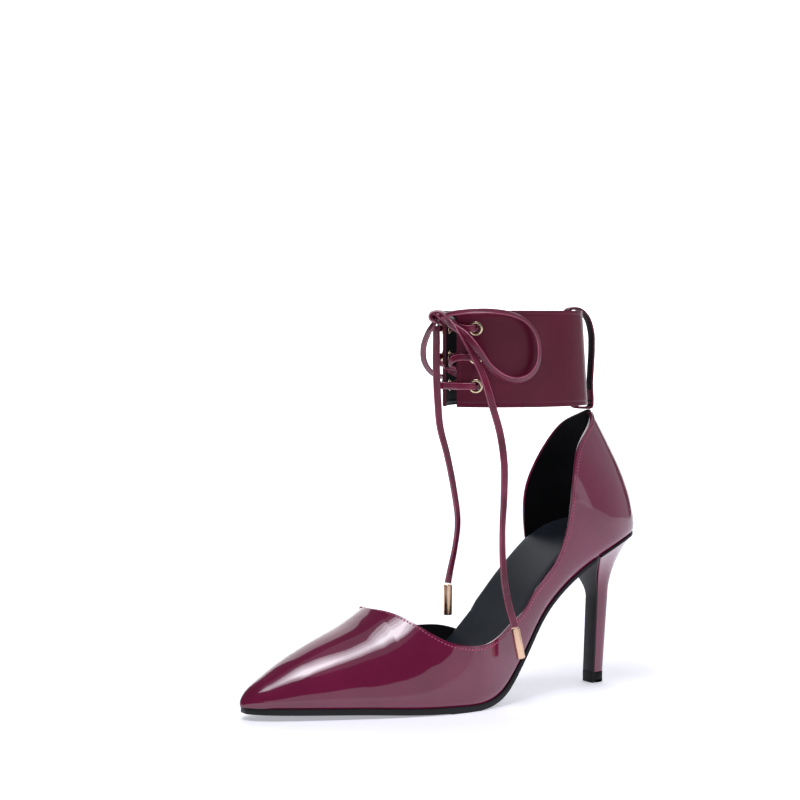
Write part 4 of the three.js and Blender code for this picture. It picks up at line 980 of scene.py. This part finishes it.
front, length, width = stemSection(heel["lift"])
liftRing = []
for sign in (1, -1):
    for i in range(heel["sideRibs"]):
        v = i / heel["sideRibs"] if sign > 0 else 1 - i / heel["sideRibs"]
        x, y = stemPoint(front, length, width, v)
        liftRing.append((x, sign * y))
liftRing += [(front + gap + heel["flap"], -width / 2), (front + gap + heel["flap"], width / 2)]
# The seat's near-black strip between the counter and the heel: partly the outsole's black edge, partly painted shade in
# the gap there
seatShadeStrip = {"inset": 0.5, "thickness": 1.25, "places": 26}
seatShadeRings = []
for i in range(seatShadeStrip["places"] + 1):
    x = along(lerp(heel["seatFront"], 0.004, math.sin(i / seatShadeStrip["places"] * math.pi / 2)))
    lateral, medial = insetPoint(x, 1, seatShadeStrip["inset"]), insetPoint(x, -1, seatShadeStrip["inset"])
    top = featherHeight(x) - gap * 0.5
    seatShadeRings.append([Vector((lateral.x, lateral.y, top)), Vector((medial.x, medial.y, top)),
                      Vector((medial.x, medial.y, top - seatShadeStrip["thickness"])),
                      Vector((lateral.x, lateral.y, top - seatShadeStrip["thickness"]))])
seatEdgeAndShade = ringLoft("seatEdgeAndShade", seatShadeRings)
seatEdgeAndShade.data.materials.append(liningBlack)
settle(seatEdgeAndShade, "outsole_black", "outsole")

lift = ringLoft("heelLift", [[Vector((x, y, z)) for x, y in liftRing] for z in (heel["lift"], heel["lift"] / 2, 0)])
lift.data.materials.append(liftBlack)
applied(lift, "BEVEL", width=0.3 * mm, segments=2, limit_method="ANGLE", angle_limit=math.radians(50))
smoothShade(lift, 45)
settle(lift, "lift_black", "heel_lift")
print("heel made")

# Outsole: from the toe, up the waist and down over the heel's front
sole = {"inset": 0.6, "waistThinning": 0.62, "edge": 0.35, "front": 0.9965, "back": 0.1686, "places": 120}


def soleRings():
    rings = []
    for i in range(sole["places"] + 1):
        t = (i / sole["places"]) ** 1.25
        x = along(lerp(sole["front"], sole["back"], t))
        slope = featherHeight(x + 0.5) - featherHeight(x - 0.5)
        thin = lerp(sole["waistThinning"], 1, ease(shareAt(x), 0.3, 0.5))
        down = Vector((slope, 0, -1)).normalized() * ((shoe["soleThickness"] - gap) * thin)
        lateral, medial = insetPoint(x, 1, sole["inset"]), insetPoint(x, -1, sole["inset"])
        lateral.z, medial.z = featherHeight(lateral.x) - gap * 0.8, featherHeight(medial.x) - gap * 0.8
        ring = [lateral, medial, medial + down, lateral + down]
        for p in ring[2:]:
            if p.z < gap:
                p.z = 0
        rings.append(ring)
    flapX = along(heel["seatFront"]) + gap
    shoulder = insetPoint(along(heel["seatFront"]), 1, heel["inset"]).y
    corner = Vector((flapX + gap, 0, featherHeight(flapX) - 2 * gap))
    bisector = Vector((0.8, 0, -0.6)) * heel["flap"]
    left, right = Vector((corner.x, shoulder, corner.z)), Vector((corner.x, -shoulder, corner.z))
    rings.append([left, right, right + bisector, left + bisector])
    flap = []
    places = [(0.14 + 0.86 * k / 20, heel["stemHeight"]) for k in range(21)]
    places += [(1, lerp(heel["stemHeight"], heel["lift"] + gap * 0.3, k / 8) - 1e-6) for k in range(1, 9)]
    for share, height in places:
        ring = heelRing(share, height)
        middle = ring[2 * heel["sideRibs"] + heel["frontRibs"] // 2]
        flap.append((middle.x + gap * 0.4, middle.z, ring[0].y))
    for i, (x, z, half) in enumerate(flap):
        before, after = flap[max(i - 1, 0)], flap[min(i + 1, len(flap) - 1)]
        forward = Vector((before[1] - after[1], 0, after[0] - before[0])).normalized()
        if i == len(flap) - 1:
            forward = Vector((1, 0, 0))
        left, right = Vector((x, half, z)), Vector((x, -half, z))
        rings.append([left, right, right + forward * heel["flap"], left + forward * heel["flap"]])
    return rings


solePiece = ringLoft("soleStrip", soleRings())
solePiece.data.materials.append(soleBlack)
applied(solePiece, "BEVEL", width=sole["edge"] * mm, segments=2, limit_method="ANGLE", angle_limit=math.radians(50))
smoothShade(solePiece, 40)
settle(solePiece, "outsole_black", "outsole")
print("sole made")

# Ankle cuff: one band with a sewn edge all round
cuffRows = [0, 0.5, 1.0, 1.4, 1.7, 2.0, 2.3, 2.6, 3.1, 4, 7, 12, 18, 24.15]
cuffHeights = cuffRows + [cuff["height"] - h for h in reversed(cuffRows[:-1])]
cuffSteps = [d for d in cuffRows[:10]] + [4 + (cuffRound - 8) * k / 150 for k in range(1, 150)]
cuffSteps += [cuffRound - d for d in reversed(cuffRows[:10])]


def cuffPoint(distance, height, out=0.0):
    point, outward = cuffAt(distance)
    edge = min(distance, cuffRound - distance, height, cuff["height"] - height)
    out -= cuff["seamDepth"] * math.exp(-((edge - cuff["seam"]) / 0.32) ** 2)
    point = point + outward * out
    drawn = 1 - cuff["taper"] * height / cuff["height"]
    return Vector((frontX - (frontX - point.x) * drawn, point.y, cuffBottom + height))


cuffPiece = gridSheet("ankleCuff", [[cuffPoint(d, h) for h in cuffHeights] for d in cuffSteps])
pointOut(cuffPiece, (-40, 90, 170))
for material in (cuffWine, liningBlack):
    cuffPiece.data.materials.append(material)
applied(cuffPiece, "SOLIDIFY", thickness=cuff["wall"] * mm, offset=0, use_even_offset=True,
        material_offset=1, material_offset_rim=0)
punches = []
for centre, outward, forward in eyelets.values():
    bpy.ops.object.select_all(action="DESELECT")
    bpy.ops.mesh.primitive_cylinder_add(vertices=24, radius=(eyelet["bore"] / 2 + eyelet["wall"]) * mm,
                                        depth=10 * mm, location=centre * mm)
    punch = bpy.context.object
    punch.rotation_mode = "QUATERNION"
    punch.rotation_quaternion = outward.to_track_quat("Z", "Y")
    bpy.ops.object.transform_apply(location=True, rotation=True, scale=True)
    punches.append(punch)
punch = join(punches, "punch")
applied(cuffPiece, "BOOLEAN", operation="DIFFERENCE", object=punch, solver="EXACT")
bpy.data.objects.remove(punch)
applied(cuffPiece, "BEVEL", width=cuff["edgeRound"] * mm, segments=3, limit_method="ANGLE",
        angle_limit=math.radians(55))
smoothShade(cuffPiece, 40)
settle(cuffPiece, "cuff_wine", "ankle_cuff")

seam = cuff["seam"]
seamUp = [h for h in np.linspace(seam, cuff["height"] - seam, 60)]
seamRound = [d for d in np.linspace(seam, cuffRound - seam, 260)]


def seamPath(pairs):
    path = []
    for d, h in pairs:
        point, outward = cuffAt(d)
        path.append((cuffPoint(d, h, cuff["wall"] / 2 + 0.02), outward))
    return path


cuffStitches = stitches("cuffStitches", [
    seamPath([(d, seam) for d in seamRound]), seamPath([(d, cuff["height"] - seam) for d in seamRound]),
    seamPath([(seam, h) for h in seamUp]), seamPath([(cuffRound - seam, h) for h in seamUp]),
], 2.2, 1.6, 0.42, laceWine)
settle(cuffStitches, "cuff_wine")

# Eyelets: one profile, spun, and copied to each place
eyeletProfile = [
    (2.0, -1.9), (2.15, -2.1), (3.0, -2.1), (3.15, -1.95), (3.15, -1.5), (2.6, -1.5), (2.6, 1.15), (3.45, 1.15),
    (3.6, 1.3), (3.5, 1.6), (3.2, 1.85), (2.8, 1.95), (2.4, 1.85), (2.1, 1.6), (2.0, 1.3),
]
for (sideName, row), (centre, outward, forward) in eyelets.items():
    grid = []
    spin = outward.to_track_quat("Z", "Y")
    for k in range(41):
        angle = 2 * math.pi * (k % 40) / 40
        ring = [centre + spin @ Vector((r * math.cos(angle), r * math.sin(angle), h)) for r, h in eyeletProfile]
        grid.append(ring + ring[:1])
    piece = gridSheet(f"eyelet_{sideName}_{row}_ring", grid)
    closeRound(piece)
    smoothShade(piece, 50)
    piece.data.materials.append(eyeletGold)
    settle(piece, "eyelet_metal", f"eyelet_{sideName}_{row}")
print("cuff and eyelets made")

# Back loop: a lined strap round the cuff's back
loop = {"width": 4.6, "thickness": 1.3, "steps": 160}
loopFoot = shoe["seatHeight"] + shoe["counterHeight"] + 2 * gap + loop["thickness"] / 2
loopTop = cuffTop + loop["thickness"] / 2 + 2 * gap
loopLine = [
    (0.1115, 0.005), (0.1095, 0.06), (0.1115, 0.24), (0.1090, 0.42),
    (0.1068, 0.6), (0.1085, 0.76), (0.1200, 0.9), (0.1370, 0.975),
    (0.1520, 1), (0.1660, 1), (0.1772, 0.975), (0.1805, 0.88),
    (0.1725, 0.5), (0.1640, 0.12), (0.1580, 0.02), (0.1320, -0.004),
]
loopPoints = [Vector((along(a), 0, lerp(loopFoot, loopTop, up))) for a, up in loopLine]
wrapped = loopPoints[-3:] + loopPoints + loopPoints[:3]
roundLine, roundKnots, _ = smoothLine(wrapped, 0.5)
roundLine = [p for p, k in zip(roundLine, roundKnots) if 3 <= k < 3 + len(loopPoints)]
loopSection = [(-1, 1), (-0.9, 1), (-0.72, 0.8), (-0.5, 1), (0.5, 1), (0.72, 0.8), (0.9, 1), (1, 1), (1, -1), (-1, -1)]
loopGrid = []
count = len(roundLine)
for i in range(count + 1):
    p = roundLine[i % count]
    tangent = (roundLine[(i + 1) % count] - roundLine[(i - 1) % count]).normalized()
    away = Vector((-tangent.z, 0, tangent.x))
    ring = [p + away * (b * loop["thickness"] / 2) + Vector((0, a * loop["width"] / 2, 0)) for a, b in loopSection]
    loopGrid.append(ring + ring[:1])
loopPiece = gridSheet("cuffLoop", loopGrid)


closeRound(loopPiece)
loopPiece.data.materials.append(cuffWine)
loopPiece.data.materials.append(liningBlack)
middleOfLoop = sum(roundLine, Vector()) / count * mm
for face in loopPiece.data.polygons:
    inward = middleOfLoop - face.center
    inward.y = 0
    if abs(face.normal.y) < 0.5 and face.normal.dot(inward.normalized()) > 0.3:
        face.material_index = 1
applied(loopPiece, "BEVEL", width=0.25 * mm, segments=2, limit_method="ANGLE", angle_limit=math.radians(60))
smoothShade(loopPiece, 40)
settle(loopPiece, "cuff_wine", "cuff_loop")
print("loop made")

# Studio: pale floor and backdrop, soft lights
def glowing(name, colour, glow):
    material, nodes, links, shader = newMaterial(name)
    shader.inputs["Base Color"].default_value = (*colour, 1)
    shader.inputs["Roughness"].default_value = 0.7
    shader.inputs["Emission Color"].default_value = (*colour, 1)
    shader.inputs["Emission Strength"].default_value = glow
    return material


stage = {"size": 5, "behind": 1.5, "backWidth": 2, "backHeight": 2.6, "floorGlow": 0.4, "backGlow": 1.05}
bpy.ops.object.select_all(action="DESELECT")
bpy.ops.mesh.primitive_plane_add(size=stage["size"])
floor = bpy.context.object
floor.name = "floor"
floor.data.materials.append(glowing("paleFloor", (0.93, 0.94, 1), stage["floorGlow"]))
ahead = Vector((-0.5204, -0.8529, 0)).normalized()
bpy.ops.mesh.primitive_plane_add(size=1, location=ahead * stage["behind"] + Vector((0, 0, 1.1)),
                                 rotation=ahead.to_track_quat("Z", "Y").to_euler())
backdrop = bpy.context.object
backdrop.scale = (stage["backWidth"], stage["backHeight"], 1)
backdrop.name = "backdrop"
backdrop.data.materials.append(glowing("paleBackdrop", (1, 1, 1), stage["backGlow"]))

world = bpy.data.worlds.new("studio")
bpy.context.scene.world = world
world.use_nodes = True
world.node_tree.nodes["Background"].inputs["Color"].default_value = (0.95, 0.96, 1, 1)
world.node_tree.nodes["Background"].inputs["Strength"].default_value = 0.07

studio = {  # direction from the shoe in degrees, distance, size in metres, brightness
    "keyCore": {"azimuth": 36, "height": 68, "away": 1.30, "size": (0.22, 0.24), "bright": 4},
    "keyInner": {"azimuth": 32, "height": 68.5, "away": 1.33, "size": (0.38, 0.38), "bright": 3},
    "keyMiddle": {"azimuth": 28, "height": 69, "away": 1.36, "size": (0.55, 0.53), "bright": 2.4},
    "keyOuter": {"azimuth": 25, "height": 69, "away": 1.40, "size": (0.74, 0.70), "bright": 3},
    "topPanel": {"azimuth": 100, "height": 84, "away": 1.7, "size": (1.6, 1.6), "bright": 0.35},
    "sidePanel": {"azimuth": 151, "height": 30, "away": 1.4, "size": (2.7, 2.2), "bright": 0.42},
    "frontStrip": {"azimuth": 84, "height": 7, "away": 1.7, "size": (2.8, 0.55), "bright": 0.8},
}


def softbox(name, azimuth, height, away, size, bright):
    a, e = math.radians(azimuth), math.radians(height)
    target = Vector((0, 0, 0.05))
    place = target + Vector((math.cos(a) * math.cos(e), math.sin(a) * math.cos(e), math.sin(e))) * away
    lamp = bpy.data.lights.new(name, "AREA")
    lamp.shape = "RECTANGLE"
    lamp.size, lamp.size_y = size
    lamp.color = (0.93, 0.93, 1)
    lamp.energy = bright * math.pi * size[0] * size[1]
    box = bpy.data.objects.new(name, lamp)
    bpy.context.scene.collection.objects.link(box)
    box.location = place
    box.rotation_euler = (target - place).to_track_quat("-Z", "Y").to_euler()


for name, light in studio.items():
    softbox(name, **light)
bpy.context.scene.view_settings.view_transform = "Standard"
print("studio ready")
